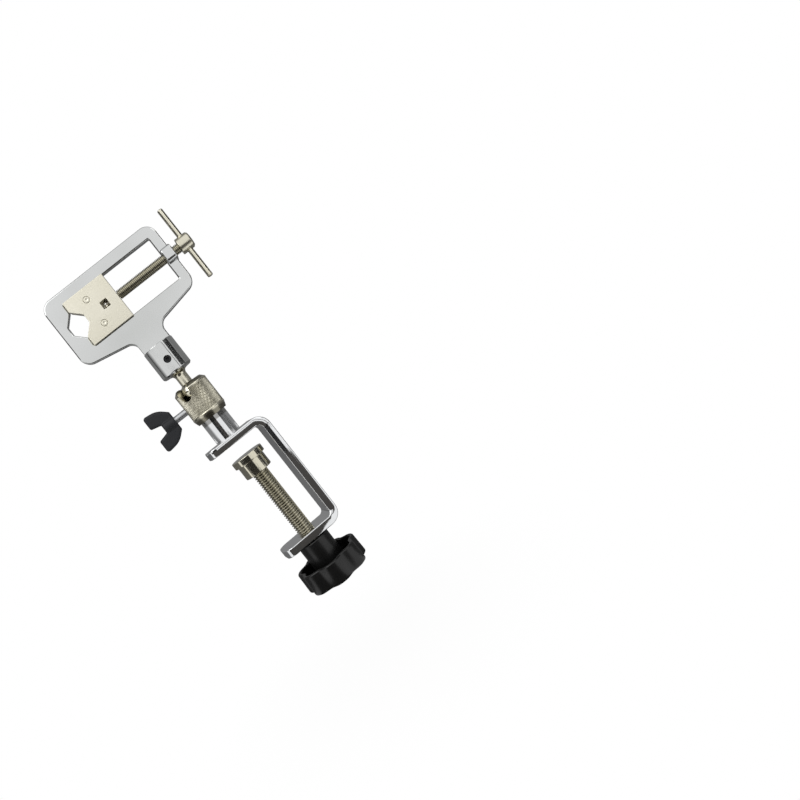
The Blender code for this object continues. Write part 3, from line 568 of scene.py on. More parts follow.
def moulded(name, colour, worn, gloss, pebble, relief, shine):
    """A moulded black plastic: fine pebbled skin, uneven gloss, and edges rubbed paler."""
    finish = bpy.data.materials.new(name)
    finish.use_nodes = True
    tree = finish.node_tree
    place = shade(tree, "TexCoord", {}).outputs["Object"]
    skin_noise = shade(tree, "TexNoise", {"Vector": place, "Scale": pebble, "Detail": PEBBLE_DETAIL})
    handled_at = {"Vector": place, "Scale": HANDLING_SCALE, "Detail": HANDLING_DETAIL}
    handling = shade(tree, "TexNoise", handled_at)
    sharpness = shade(tree, "NewGeometry", {}).outputs["Pointiness"]
    limits = {"From Min": RUBBED_FROM, "From Max": RUBBED_TO}
    edges = shade(tree, "MapRange", {"Value": sharpness, **limits})
    both = {0: edges.outputs["Result"], 1: handling.outputs["Fac"]}
    rubbed = shade(tree, "Math", both, operation="MULTIPLY")
    height = {"Height": skin_noise.outputs["Fac"], "Strength": PEBBLE_STRENGTH, "Distance": relief}
    pebbles = shade(tree, "Bump", height)
    look = {
        "Specular IOR Level": shine,
        "Base Color": tinted(tree, rubbed.outputs["Value"], colour, worn),
        "Roughness": uneven(tree, handling, gloss),
        "Normal": pebbles.outputs["Normal"],
    }
    feed(tree, tree.nodes["Principled BSDF"], look)
    return finish


knob_plastic = moulded(
    "knob_plastic", (0.005, 0.005, 0.005), (0.03, 0.03, 0.03), (0.26, 0.36), 2600, 0.012 * MM, 0.42
)
knob = skin(knob_rows)
knob.transform(SCREW_ASIDE)
fit("hand_knob", knob, knob_plastic, "clamp_screw", "knob_plastic", "clamp_knob")
brass = plated("brass", (0.62, 0.44, 0.18), (0.76, 0.58, 0.28), (0.2, 0.36), (120, 120, 4000))
refinish("knob_insert", brass)

# Collar: the knurled sleeve that turns on the post and holds the ball down under its lip.
# Turned steel with a diamond knurl between two plain bevels, a U notch that the stud can
# swing into, and a tapped hole for the wing screw. Nickel plated.
COLLAR_RADIUS = 11.05 * MM
COLLAR_FOOT_RADIUS = 9.8 * MM
COLLAR_FOOT_TOP = COLLAR_LOW.z + 3.6 * MM
COLLAR_SHOULDER = COLLAR_HIGH.z - 2.2 * MM
COLLAR_RIM = 8.77 * MM
COLLAR_MOUTH = 6.47 * MM
COLLAR_LIP_ANGLE = math.radians(35)
COLLAR_BORE = POST_RADIUS + CUP_GAP
COLLAR_EDGE = 0.3 * MM
COLLAR_ROUND = 0.9 * MM
KNURL_LAND = 0.5 * MM
KNURL_DEPTH = 0.45 * MM
KNURL_COUNT = 60
KNURL_RISE = 1.2 * MM
KNURL_CUTS = 6
KNURL_FADE_LINES = 3
NOTCH_HALF = 4.0 * MM
NOTCH_ASIDE = math.radians(29)
NOTCH_STEPS = 24
LOCK_HOLE = 2.425 * MM


def knurl_row(height, strength):
    """A ring of the collar's outside, pressed into diamonds where two families of grooves cross."""
    steps = KNURL_COUNT * KNURL_CUTS
    row = []
    for step in range(steps):
        angle = FULL_TURN * step / steps
        along = step / KNURL_CUTS
        up = (height - COLLAR_LOW.z) / KNURL_RISE
        first = abs(2 * ((along + up) % 1) - 1)
        second = abs(2 * ((along - up) % 1) - 1)
        radius = COLLAR_RADIUS - KNURL_DEPTH * strength * max(first, second)
        row.append((radius * math.cos(angle), radius * math.sin(angle), height))
    return row


knurl_steps = KNURL_COUNT * KNURL_CUTS
knurl_from = COLLAR_FOOT_TOP + KNURL_LAND
knurl_to = COLLAR_SHOULDER - KNURL_LAND
lower_outside = rounded([
    (COLLAR_BORE, COLLAR_LOW.z + COLLAR_EDGE, 0),
    (COLLAR_BORE, COLLAR_LOW.z, COLLAR_EDGE / 2),
    (COLLAR_FOOT_RADIUS, COLLAR_LOW.z, COLLAR_EDGE),
    (COLLAR_RADIUS, COLLAR_FOOT_TOP, COLLAR_ROUND),
    (COLLAR_RADIUS, knurl_from, 0),
])
ball_seat = arc((0, ball_z), cup_radius, COLLAR_LIP_ANGLE, 0, CUP_STEPS)
upper_outside = rounded([
    (COLLAR_RADIUS, knurl_to, 0),
    (COLLAR_RADIUS, COLLAR_SHOULDER, COLLAR_ROUND),
    (COLLAR_RIM, COLLAR_HIGH.z, COLLAR_EDGE),
    (COLLAR_MOUTH, COLLAR_HIGH.z, COLLAR_EDGE),
    (*ball_seat[0], 0),
])
collar_rows = [ring_row(radius, height, knurl_steps) for radius, height in lower_outside]
knurl_lines = round((knurl_to - knurl_from) / KNURL_RISE * KNURL_CUTS)
for line in range(1, knurl_lines):
    height = knurl_from + (knurl_to - knurl_from) * line / knurl_lines
    fade = min(line, knurl_lines - line, KNURL_FADE_LINES) / KNURL_FADE_LINES
    collar_rows.append(knurl_row(height, fade))
collar_rows += [ring_row(radius, height, knurl_steps) for radius, height in upper_outside]
collar_rows += [ring_row(radius, height, knurl_steps) for radius, height in ball_seat[1:]]
collar_rows.append(ring_row(COLLAR_BORE, ball_z, knurl_steps))
collar = skin(collar_rows, loop=True)


def plate(outline, holes, front, back, edge, edge_steps=4):
    """A flat plate in the XZ plane between two Y values, with rounded edges and any holes."""
    loops = []
    for number, ring in enumerate((outline, *holes)):
        points = [Vector(p) for p in ring]
        area = sum(a.x * b.y - b.x * a.y for a, b in zip(points, points[1:] + points[:1]))
        if (area > 0) == (number > 0):
            points.reverse()
        loops.append(points)
    rims = []
    vertices = []
    faces = []
    for points in loops:
        count = len(points)
        inward = []
        for index in range(count):
            before = (points[index] - points[index - 1]).normalized()
            after = (points[(index + 1) % count] - points[index]).normalized()
            first = Vector((-before.y, before.x))
            second = Vector((-after.y, after.x))
            inward.append((first + second) / (1 + first.dot(second)))
        rows = []
        for step in range(edge_steps + 1):
            angle = QUARTER * step / edge_steps
            rows.append((edge * (1 - math.sin(angle)), front + edge * (1 - math.cos(angle))))
        rows += [(inset, back + front - depth) for inset, depth in reversed(rows)]
        first_index = len(vertices)
        for inset, depth in rows:
            for point, normal in zip(points, inward):
                spot = point + normal * inset
                vertices.append((spot.x, depth, spot.y))
        for row in range(len(rows) - 1):
            for index in range(count):
                a = first_index + row * count + index
                b = first_index + row * count + (index + 1) % count
                faces.append((a, b, b + count, a + count))
        rims.append((first_index, first_index + (len(rows) - 1) * count, count))
    for side in (0, 1):
        order = [rim[side] + index for rim in rims for index in range(rim[2])]
        rings = [[Vector(vertices[rim[side] + i]) for i in range(rim[2])] for rim in rims]
        faces += [tuple(order[i] for i in corner) for corner in tessellate_polygon(rings)]
    mesh = bpy.data.meshes.new("plate")
    mesh.from_pydata(vertices, [], faces)
    return settle(mesh)


def drill(radius, start, end):
    """A cutter for a round hole between two heights."""
    return turned([(0, end), (radius, end), (radius, start), (0, start)])


notch_outline = arc((0, 0), NOTCH_HALF, math.pi, FULL_TURN, NOTCH_STEPS)
notch_outline += [(NOTCH_HALF, 2 * COLLAR_RADIUS), (-NOTCH_HALF, 2 * COLLAR_RADIUS)]
notch = plate(notch_outline, [], -2 * COLLAR_RADIUS, 0, COLLAR_EDGE / 3)
notch.transform(Matrix.Translation((0, 0, ball_z)) @ Matrix.Rotation(-NOTCH_ASIDE, 4, "Z"))
collar = carve(collar, notch)
LOCK_WAY = Matrix.Translation((0, 0, LOCK_Z)) @ Matrix.Rotation(-QUARTER, 4, "Y")
lock_hole = drill(LOCK_HOLE, COLLAR_RIM / 2, 2 * COLLAR_RADIUS)
lock_hole.transform(LOCK_WAY)
collar = carve(collar, lock_hole)
# The knurl's colour goes darker towards the bottoms of its grooves.
KNURL_THROUGH = 0.3
knurl_clear = COLLAR_RADIUS - KNURL_DEPTH / 4
knurled_nickel = plated(
    "nickel_knurled",
    *NICKEL,
    (0.2, 0.3),
    (600, 600, 2200),
    0.0008 * MM,
    darkened=((0, 0, 0), (1, 1, 0), COLLAR_RADIUS - KNURL_DEPTH, knurl_clear, KNURL_THROUGH),
)
fit("knurled_collar", collar, knurled_nickel, "collar", "nickel", "collar")

# Wing screw: the thumb screw that locks the ball. Its zinc plated steel shank runs through the
# collar and pushes a loose brass slug into the post's groove. The grip is moulded over the
# shank's end in dull black plastic, two wings with a gap between them.
SHANK_LOW, SHANK_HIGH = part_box("wing_screw")
WING_LOW, WING_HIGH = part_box("wing_grip")
SHANK_RADIUS = SHANK_HIGH.y
SHANK_EDGE = 0.5 * MM
shank = rod(SHANK_RADIUS, -SHANK_HIGH.x, -SHANK_LOW.x, SHANK_EDGE, SHANK_EDGE)
shank.transform(LOCK_WAY)
zinc = plated("zinc_plate", (0.44, 0.45, 0.46), (0.56, 0.57, 0.58), (0.4, 0.5), (2400, 420, 420), 0.002 * MM)
fit("wing_shank", shank, zinc, "wing", "zinc", "wing_screw")
refinish("lock_slug", brass)

WING_ROOT = -WING_HIGH.x
WING_LENGTH = WING_HIGH.x - WING_LOW.x
WING_HALF_SPAN = (WING_HIGH.z - WING_LOW.z) / 2
WING_ROOT_HALF = 6.2 * MM
WING_CHEEK = 5.6 * MM
WING_CHEEK_INSET = 1.2 * MM
WING_CHEEK_ROUND = 12.0 * MM
WING_HALF_THICK = 2.5 * MM
WING_EDGE = 1.3 * MM
WING_SLOT_HALF = 2.6 * MM
WING_SLOT_DEPTH = 6.4 * MM
WING_SLOT_FLARE = 1.6 * MM
WING_HUB_RADIUS = 4.0 * MM
WING_ROOT_ROUND = 1.0 * MM
WING_TIP_ROUND = 1.8 * MM
WING_SLOT_MOUTH_ROUND = 1.2 * MM
WING_SLOT_ROOT_ROUND = 0.5 * MM
WING_VOXEL = 0.22 * MM
WING_SMOOTHING = 6
right_wing = [
    (WING_ROOT_HALF, 0, WING_ROOT_ROUND),
    (WING_HALF_SPAN - WING_CHEEK_INSET, WING_CHEEK, WING_CHEEK_ROUND),
    (WING_HALF_SPAN, WING_LENGTH, WING_TIP_ROUND),
    (WING_SLOT_HALF + WING_SLOT_FLARE, WING_LENGTH, WING_SLOT_MOUTH_ROUND),
    (WING_SLOT_HALF, WING_LENGTH - WING_SLOT_DEPTH, WING_SLOT_ROOT_ROUND),
]
wing_corners = right_wing + [(-x, y, radius) for x, y, radius in reversed(right_wing)]
wing_outline = [(-WING_ROOT - along, LOCK_Z + across) for across, along in rounded(wing_corners)]
wings = plate(wing_outline, [], -WING_HALF_THICK, WING_HALF_THICK, WING_EDGE)
hub_end = WING_ROOT + WING_LENGTH - WING_SLOT_DEPTH - SHANK_EDGE
wing_hub = rod(WING_HUB_RADIUS, WING_ROOT, hub_end, SHANK_EDGE, 2 * SHANK_EDGE)
wing_hub.transform(LOCK_WAY)
wings = carve(wings, wing_hub, "UNION")
moulding = placed("moulding", wings)
melt = moulding.modifiers.new("melt", "REMESH")
melt.mode = "VOXEL"
melt.voxel_size = WING_VOXEL
soften = moulding.modifiers.new("soften", "SMOOTH")
soften.iterations = WING_SMOOTHING
moulded_wings = as_made(moulding)
bpy.data.objects.remove(moulding)
wing_plastic = moulded(
    "wing_plastic", (0.019, 0.020, 0.023), (0.05, 0.05, 0.053), (0.46, 0.58), 3800, 0.025 * MM, 0.3
)
fit("wings", settle(moulded_wings), wing_plastic, "wing", "wing_plastic", "wing_grip")

# Ball stud: the ball, its waist, a flared shoulder and the plain shank that plugs into the head,
# all turned from one bar, polished and nickel plated.
STUD_NECK = 3.7 * MM
STUD_FLANGE = 5.8 * MM
STUD_SHANK = 4.0 * MM
STUD_FLANGE_Z = ball_z + 13.4 * MM
STUD_FLARE = 2.4 * MM
STUD_GROOVE_Z = ball_z + 22.4 * MM
STUD_GROOVE_HALF = 1.4 * MM
STUD_GROOVE_DEPTH = 1.0 * MM
STUD_WAIST_EDGE = 0.5 * MM
STUD_LIP = 0.25 * MM
BALL_STEPS = 32
FLARE_STEPS = 14
flare = []
for step in range(FLARE_STEPS + 1):
    angle = QUARTER * (1 - step / FLARE_STEPS)
    radius = STUD_NECK + (STUD_FLANGE - STUD_NECK) * (1 - math.cos(angle))
    flare.append((radius, STUD_FLANGE_Z - STUD_LIP - STUD_FLARE * (1 - math.sin(angle))))
stud_profile = [
    (0, BALL_HIGH.z),
    *arc((STUD_SHANK - STUD_WAIST_EDGE, BALL_HIGH.z - STUD_WAIST_EDGE), STUD_WAIST_EDGE, QUARTER, 0),
    (STUD_SHANK, STUD_GROOVE_Z + STUD_GROOVE_HALF),
    (STUD_SHANK - STUD_GROOVE_DEPTH, STUD_GROOVE_Z + STUD_GROOVE_HALF),
    (STUD_SHANK - STUD_GROOVE_DEPTH, STUD_GROOVE_Z - STUD_GROOVE_HALF),
    (STUD_SHANK, STUD_GROOVE_Z - STUD_GROOVE_HALF),
    (STUD_SHANK, STUD_FLANGE_Z),
    (STUD_FLANGE - STUD_LIP, STUD_FLANGE_Z),
    *flare,
    *arc((0, ball_z), BALL_RADIUS, math.acos(STUD_NECK / BALL_RADIUS), -QUARTER, BALL_STEPS),
]
stud_profile[-1] = (0, BALL_LOW.z)
ball_nickel = plated("nickel_polished", *NICKEL, (0.06, 0.11), (500, 500, 900), 0.001 * MM)
fit("ball_and_stud", turned(stud_profile, POST_STEPS), ball_nickel, "ball_stud", "nickel", "ball_stud")

# Head: the flat frame with the fixed V jaw, its round neck and the boss for the jaw screw, one
# zinc casting. The faces are linished, the edges tumbled, the bores drilled, and it is plated in
# satin chrome.
HEAD_LOW, HEAD_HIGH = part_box("vise_frame")
JAW_SCREW_LOW, JAW_SCREW_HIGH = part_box("jaw_screw")
JAW_SCREW_Z = (JAW_SCREW_LOW.z + JAW_SCREW_HIGH.z) / 2
FRAME_HALF_WIDTH = -HEAD_LOW.x
FRAME_HALF_THICK = 2.5 * MM
FRAME_EDGE = 0.9 * MM
FRAME_CORNER = 7.0 * MM
FRAME_FILLET = 5.5 * MM
FRAME_ARC_STEPS = 14
LOWER_RAIL_END = 21.7 * MM
LOWER_RAIL_ROOT = 27.8 * MM
WINDOW_LEFT = HEAD_LOW.x + 11.9 * MM
WINDOW_RIGHT = -HEAD_LOW.x - 6.4 * MM
WINDOW_HALF = 14.5 * MM
WINDOW_CORNER = 0.6 * MM
VEE_HALF_MOUTH = 8.75 * MM
VEE_DEPTH = 5.9 * MM
NECK_RADIUS = 9.9 * MM
NECK_TOP = HEAD_LOW.z + 19.3 * MM
NECK_CHAMFER = 0.9 * MM
NECK_EDGE = 0.5 * MM
NECK_STEP = 0.5 * MM
STUD_BORE = STUD_SHANK + 0.3 * MM
STUD_BORE_DEPTH = 13.3 * MM
BOSS_RADIUS = 6.8 * MM
BOSS_HALF_THICK = 4.8 * MM
BOSS_LENGTH = 6.8 * MM
BOSS_EDGE = 0.9 * MM
BOSS_CORNER = 2.6 * MM
SCREW_WAY = 3.3 * MM
SET_HOLE = 2.3 * MM
SET_HOLE_Z = HEAD_LOW.z + 8.7 * MM
plate_foot = NECK_TOP - NECK_RADIUS + NECK_STEP
right_half = [
    (FRAME_HALF_WIDTH, HEAD_HIGH.z, FRAME_CORNER),
    (FRAME_HALF_WIDTH, JAW_SCREW_Z - LOWER_RAIL_END, FRAME_CORNER),
    (NECK_RADIUS - NECK_STEP, JAW_SCREW_Z - LOWER_RAIL_ROOT, FRAME_FILLET),
    (NECK_RADIUS - NECK_STEP, plate_foot, 0),
]
frame_corners = right_half + [(-x, z, radius) for x, z, radius in reversed(right_half)]
vee_flat = VEE_HALF_MOUTH - VEE_DEPTH


def vee_outline(left, right, low, high, corner, depth):
    """A rectangle with a V in its left side, which goes in or, with a depth below zero, out."""
    corners = [(left, low, corner), (right, low, corner), (right, high, corner), (left, high, corner)]
    vee = [(0, VEE_HALF_MOUTH), (depth, vee_flat), (depth, -vee_flat), (0, -VEE_HALF_MOUTH)]
    return rounded(corners + [(left + x, JAW_SCREW_Z + z, 0) for x, z in vee])


window_low = JAW_SCREW_Z - WINDOW_HALF
window_high = JAW_SCREW_Z + WINDOW_HALF
window = vee_outline(WINDOW_LEFT, WINDOW_RIGHT, window_low, window_high, WINDOW_CORNER, -VEE_DEPTH)
frame_outline = rounded(frame_corners, FRAME_ARC_STEPS)
head = plate(frame_outline, [window], -FRAME_HALF_THICK, FRAME_HALF_THICK, FRAME_EDGE)
neck_profile = rounded([
    (0, NECK_TOP, 0),
    (NECK_RADIUS, NECK_TOP, NECK_EDGE),
    (NECK_RADIUS, HEAD_LOW.z + NECK_CHAMFER, NECK_EDGE),
    (NECK_RADIUS - NECK_CHAMFER, HEAD_LOW.z, NECK_EDGE / 2),
    (0, HEAD_LOW.z, 0),
])
head = carve(head, turned(neck_profile, POST_STEPS), "UNION")
barrel = rounded([
    (BOSS_HALF_THICK, -BOSS_RADIUS, BOSS_CORNER),
    (BOSS_HALF_THICK, BOSS_RADIUS, BOSS_CORNER),
    (-BOSS_HALF_THICK, BOSS_RADIUS, BOSS_CORNER),
    (-BOSS_HALF_THICK, -BOSS_RADIUS, BOSS_CORNER),
])
boss = plate(barrel, [], 0, BOSS_LENGTH, BOSS_EDGE)
ACROSS_TO_RIGHT = Matrix(((0, 1, 0, 0), (0, 0, 1, 0), (1, 0, 0, 0), (0, 0, 0, 1)))
boss.transform(Matrix.Translation((HEAD_HIGH.x - BOSS_LENGTH, 0, JAW_SCREW_Z)) @ ACROSS_TO_RIGHT)
head = carve(head, boss, "UNION")

JAW_SCREW_WAY = Matrix.Translation((0, 0, JAW_SCREW_Z)) @ Matrix.Rotation(QUARTER, 4, "Y")
TOWARDS_FRONT = Matrix.Rotation(QUARTER, 4, "X")
screw_way = drill(SCREW_WAY, WINDOW_RIGHT - FRAME_EDGE, HEAD_HIGH.x + BOSS_LENGTH)
screw_way.transform(JAW_SCREW_WAY)
head = carve(head, screw_way)
head = carve(head, drill(STUD_BORE, HEAD_LOW.z - NECK_CHAMFER, HEAD_LOW.z + STUD_BORE_DEPTH))
set_hole = drill(SET_HOLE, 0, 2 * NECK_RADIUS)
set_hole.transform(Matrix.Translation((0, 0, SET_HOLE_Z)) @ TOWARDS_FRONT)
head = carve(head, set_hole)
satin_chrome = plated(
    "satin_chrome", (0.57, 0.58, 0.57), (0.70, 0.71, 0.71), (0.09, 0.13), (300, 600, 900), 0.0008 * MM, 16
)
fit("head_casting", head, satin_chrome, "head", "satin_chrome", "vise_frame")

# Set screw: the headless socket screw in the front of the neck, whose point runs in the stud's
# groove and keeps the head on. Hardened steel with a black oxide skin.
black_oxide = plated("black_oxide", (0.02, 0.02, 0.022), (0.05, 0.05, 0.052), (0.38, 0.5), (1500, 300, 1500))
refinish("stud_set_screw", black_oxide)

# Sliding jaw: a steel block that runs in the head's window between two sheet cheeks, which lap
# the frame and guide it. Block and cheeks share the V. All are nickel plated, dull from tumbling,
# and two rivets hold them together.
CHEEK_LOW, CHEEK_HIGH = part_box("jaw_front_plate")
REAR_CHEEK_LOW, REAR_CHEEK_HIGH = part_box("jaw_rear_plate")
BLOCK_LOW, BLOCK_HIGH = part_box("jaw_block")
CHEEK_EDGE = 0.22 * MM
CHEEK_CORNER = 0.5 * MM
BLOCK_EDGE = 0.25 * MM
PORT_LEFT = CHEEK_LOW.x + 17.3 * MM
PORT_WIDTH = 4.6 * MM
PORT_HALF = 2.4 * MM
PORT_CORNER = 0.3 * MM
TIP_HOLE = 1.8 * MM
RIVET_NODES = ("jaw_rivet_upper", "jaw_rivet_lower")
RIVET_BOXES = [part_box(node) for node in RIVET_NODES]
RIVET_RADIUS = (RIVET_BOXES[0][1].z - RIVET_BOXES[0][0].z) / 2
RIVET_GAP = 0.12 * MM
RIVET_HOLE_STEPS = 40
rivet_centres = [(low + high) / 2 for low, high in RIVET_BOXES]


def jaw_outline(low, high):
    return vee_outline(low.x, high.x, low.z, high.z, CHEEK_CORNER, VEE_DEPTH)


def port():
    """The square opening over the clip."""
    low = JAW_SCREW_Z - PORT_HALF
    high = JAW_SCREW_Z + PORT_HALF
    right = PORT_LEFT + PORT_WIDTH
    corners = [(PORT_LEFT, low), (right, low), (right, high), (PORT_LEFT, high)]
    return rounded([(*corner, PORT_CORNER) for corner in corners])


def rivet_holes():
    last = FULL_TURN * (1 - 1 / RIVET_HOLE_STEPS)
    radius = RIVET_RADIUS + RIVET_GAP
    return [arc((centre.x, centre.z), radius, 0, last, RIVET_HOLE_STEPS - 1) for centre in rivet_centres]


tumbled_nickel = plated(
    "nickel_tumbled", (0.73, 0.70, 0.58), (0.79, 0.76, 0.65), (0.34, 0.46), (1800, 1800, 1800), 0.005 * MM
)
block_outline = jaw_outline(BLOCK_LOW, BLOCK_HIGH)
block_holes = [*rivet_holes(), port()]
block = plate(block_outline, block_holes, BLOCK_LOW.y, BLOCK_HIGH.y, BLOCK_EDGE)
tip_hole = drill(TIP_HOLE, PORT_LEFT + PORT_WIDTH / 2, BLOCK_HIGH.x + PORT_WIDTH)
tip_hole.transform(JAW_SCREW_WAY)
fit("sliding_block", carve(block, tip_hole), tumbled_nickel, "jaw", "nickel", "jaw_block")
front_holes = [*rivet_holes(), port()]
cheek_outline = jaw_outline(CHEEK_LOW, CHEEK_HIGH)
front_cheek = plate(cheek_outline, front_holes, CHEEK_LOW.y, CHEEK_HIGH.y, CHEEK_EDGE)
fit("front_cheek", front_cheek, tumbled_nickel, "jaw", "nickel", "jaw_front_plate")
rear_cheek = plate(cheek_outline, rivet_holes(), REAR_CHEEK_LOW.y, REAR_CHEEK_HIGH.y, CHEEK_EDGE)
fit("rear_cheek", rear_cheek, tumbled_nickel, "jaw", "nickel", "jaw_rear_plate")

# Rivets: two solid steel pins through cheeks and block, headed over flush on both sides, each
# with the small dimple of the tool in its middle. Plated with the jaw.
RIVET_EDGE = 0.25 * MM
RIVET_DIMPLE = 0.8 * MM
RIVET_DIMPLE_DEPTH = 0.4 * MM
for node, centre in zip(RIVET_NODES, rivet_centres):
    low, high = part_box(node)
    half_length = (high.y - low.y) / 2
    upper_half = rounded([
        (0, half_length - RIVET_DIMPLE_DEPTH, 0),
        (RIVET_DIMPLE, half_length, RIVET_EDGE),
        (RIVET_RADIUS, half_length, RIVET_EDGE),
        (RIVET_RADIUS, 0, 0),
    ])
    lower_half = [(radius, -height) for radius, height in reversed(upper_half[:-1])]
    rivet = turned(upper_half + lower_half)
    rivet.transform(Matrix.Translation(centre) @ TOWARDS_FRONT)
    fit(node.replace("jaw_", ""), rivet, tumbled_nickel, "jaw", "nickel", node)

# Jaw screw: the steel screw that draws the jaw, with a fine rolled thread, a turned tip held in
# the jaw by a spring clip, and a round chamfered head that is drilled across for the bar.
JAW_THREAD = 3.0 * MM
JAW_PITCH = 1.0 * MM
JAW_THREAD_DEPTH = 0.55 * MM
CLIP_LOW, CLIP_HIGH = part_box("screw_clip")
BAR_LOW, BAR_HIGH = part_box("t_bar")
TIP_RADIUS = 1.5 * MM
TIP_GROOVE = 1.1 * MM
CLIP_GAP = 0.15 * MM
SCREW_SHOULDER = BLOCK_HIGH.x + 0.3 * MM
SCREW_HEAD_RADIUS = JAW_SCREW_HIGH.z - JAW_SCREW_Z
SCREW_HEAD_LEFT = JAW_SCREW_HIGH.x - 8.4 * MM
SCREW_HEAD_CHAMFER = 1.0 * MM
SCREW_HEAD_EDGE = 0.25 * MM
BAR_HOLE = 1.9 * MM
head_rows = rounded([
    (JAW_THREAD - JAW_THREAD_DEPTH, SCREW_HEAD_LEFT, 0),
    (SCREW_HEAD_RADIUS, SCREW_HEAD_LEFT, SCREW_HEAD_EDGE),
    (SCREW_HEAD_RADIUS, JAW_SCREW_HIGH.x - SCREW_HEAD_CHAMFER, SCREW_HEAD_EDGE),
    (SCREW_HEAD_RADIUS - SCREW_HEAD_CHAMFER, JAW_SCREW_HIGH.x, SCREW_HEAD_EDGE),
    (0, JAW_SCREW_HIGH.x, 0),
])
jaw_screw_rows = [
    ring_row(0, JAW_SCREW_LOW.x),
    ring_row(TIP_RADIUS, JAW_SCREW_LOW.x),
    ring_row(TIP_RADIUS, CLIP_LOW.x - CLIP_GAP),
    ring_row(TIP_GROOVE, CLIP_LOW.x - CLIP_GAP),
    ring_row(TIP_GROOVE, CLIP_HIGH.x + CLIP_GAP),
    ring_row(TIP_RADIUS, CLIP_HIGH.x + CLIP_GAP),
    ring_row(TIP_RADIUS, SCREW_SHOULDER),
    *thread_rows(JAW_THREAD, JAW_THREAD_DEPTH, JAW_PITCH, SCREW_SHOULDER, SCREW_HEAD_LEFT),
    *[ring_row(radius, along) for radius, along in head_rows],
]
jaw_screw = skin(jaw_screw_rows)
jaw_screw.transform(JAW_SCREW_WAY)
bar_x = (BAR_LOW.x + BAR_HIGH.x) / 2
bar_hole = drill(BAR_HOLE, BAR_LOW.z, BAR_HIGH.z)
bar_hole.transform(Matrix.Translation((bar_x, 0, 0)))
jaw_screw = carve(jaw_screw, bar_hole)
# The thread's colour goes darker towards its roots.
level_nickel = plated(
    "nickel_jaw_thread",
    *NICKEL,
    (0.16, 0.24),
    (2600, 90, 90),
    0.0008 * MM,
    darkened=((0, 0, JAW_SCREW_Z), (0, 1, 1), JAW_THREAD - JAW_THREAD_DEPTH, JAW_THREAD, DARK_THROUGH),
)
fit("jaw_screw_thread", jaw_screw, level_nickel, "jaw_screw", "nickel", "jaw_screw")
clip_steel = plated("clip_steel", (0.84, 0.83, 0.78), (0.92, 0.91, 0.87), (0.12, 0.2), (700, 700, 3000))
refinish("screw_clip", clip_steel)

# T bar: the plain rod through the jaw screw's head that turns it, drawn steel with rounded ends,
# a light press fit in its hole, nickel plated.
BAR_RADIUS = (BAR_HIGH.x - BAR_LOW.x) / 2
BAR_END = 0.8 * MM
bar = rod(BAR_RADIUS, BAR_HIGH.z, BAR_LOW.z, BAR_END, BAR_END)
bar.transform(Matrix.Translation((bar_x, 0, 0)))
fit("turning_bar", bar, upright_nickel, "jaw_screw", "nickel", "t_bar")

# Floor: a plain white sheet under the vise, below the lowest place that the knob can be screwed
# down to. It keeps the vise's soft shadow near it and goes over into the white of the room.
FLOOR_SIZE = 8.0
FLOOR_GAP = 46.0 * MM
SHADOW_REACH = 0.2
FLOOR_COLOUR = (0.94, 0.94, 0.94, 1)
SHADOW_SHARE = 0.3
floor_mesh = bpy.data.meshes.new("floor")
side = FLOOR_SIZE / 2
floor_z = CAD_BOX[0][2] - FLOOR_GAP
floor_mesh.from_pydata(
    [(-side, -side, floor_z), (side, -side, floor_z), (side, side, floor_z), (-side, side, floor_z)],
    [],
    [(0, 1, 2, 3)],
)
floor = placed("floor", floor_mesh)
paper = bpy.data.materials.new("white_paper")
paper.use_nodes = True
tree = paper.node_tree
tree.nodes.remove(tree.nodes["Principled BSDF"])
sheet = shade(tree, "BsdfDiffuse", {"Color": FLOOR_COLOUR})
white = shade(tree, "Emission", {"Strength": 1})
spot = shade(tree, "TexCoord", {})
far = shade(tree, "VectorMath", {0: spot.outputs["Object"]}, operation="LENGTH")
limits = {"From Min": 0, "From Max": SHADOW_REACH, "To Min": 1 - SHADOW_SHARE, "To Max": 1}
share = shade(tree, "MapRange", {"Value": far.outputs["Value"], **limits}, interpolation_type="SMOOTHSTEP")
rays = shade(tree, "LightPath", {}).outputs
shown = shade(tree, "Math", {0: rays["Is Camera Ray"], 1: rays["Is Glossy Ray"]}, operation="MAXIMUM")
either = {0: shown.outputs["Value"], 1: rays["Is Transmission Ray"]}
shown_too = shade(tree, "Math", either, operation="MAXIMUM")
both = {0: shown_too.outputs["Value"], 1: share.outputs["Result"]}
whiteness = shade(tree, "Math", both, operation="MULTIPLY")
layers = {"Fac": whiteness.outputs["Value"], 1: sheet.outputs["BSDF"], 2: white.outputs["Emission"]}
mix = shade(tree, "MixShader", layers)
feed(tree, tree.nodes["Material Output"], {"Surface": mix.outputs["Shader"]})
floor_mesh.materials.append(paper)

# Cards: matt boards, dark or grey, that stand out of the picture round the vise and lie before and
# behind it, so that the polished metal has something to show beside the white. Each upright one
# stands at the height that one piece of the vise sees.
CARD_BLACK = (0.04, 0.04, 0.04, 1)
CARD_DARK = (0.08, 0.075, 0.07, 1)
CARD_GREY = (0.2, 0.2, 0.2, 1)
CARD_STEPS = 12
CARD_DISTANCE = 0.7
BACK_CARD_REACH = 3
CARD_BELOW = 0.2 * MM
CARD_FOOT = CAD_BOX[0][2] - CARD_BELOW


def card(name, vertices, faces, colour):
    mesh = bpy.data.meshes.new(name)
    mesh.from_pydata(vertices, [], faces)
    matt = bpy.data.materials.new(name)
    matt.use_nodes = True
    board = matt.node_tree.nodes["Principled BSDF"]
    board.inputs["Base Color"].default_value = colour
    board.inputs["Roughness"].default_value = 1
    board.inputs["Specular IOR Level"].default_value = 0
    mesh.materials.append(matt)
    made = placed(name, mesh)
    made.visible_camera = False
    made.visible_diffuse = False
    made.visible_shadow = False
    made.visible_transmission = False


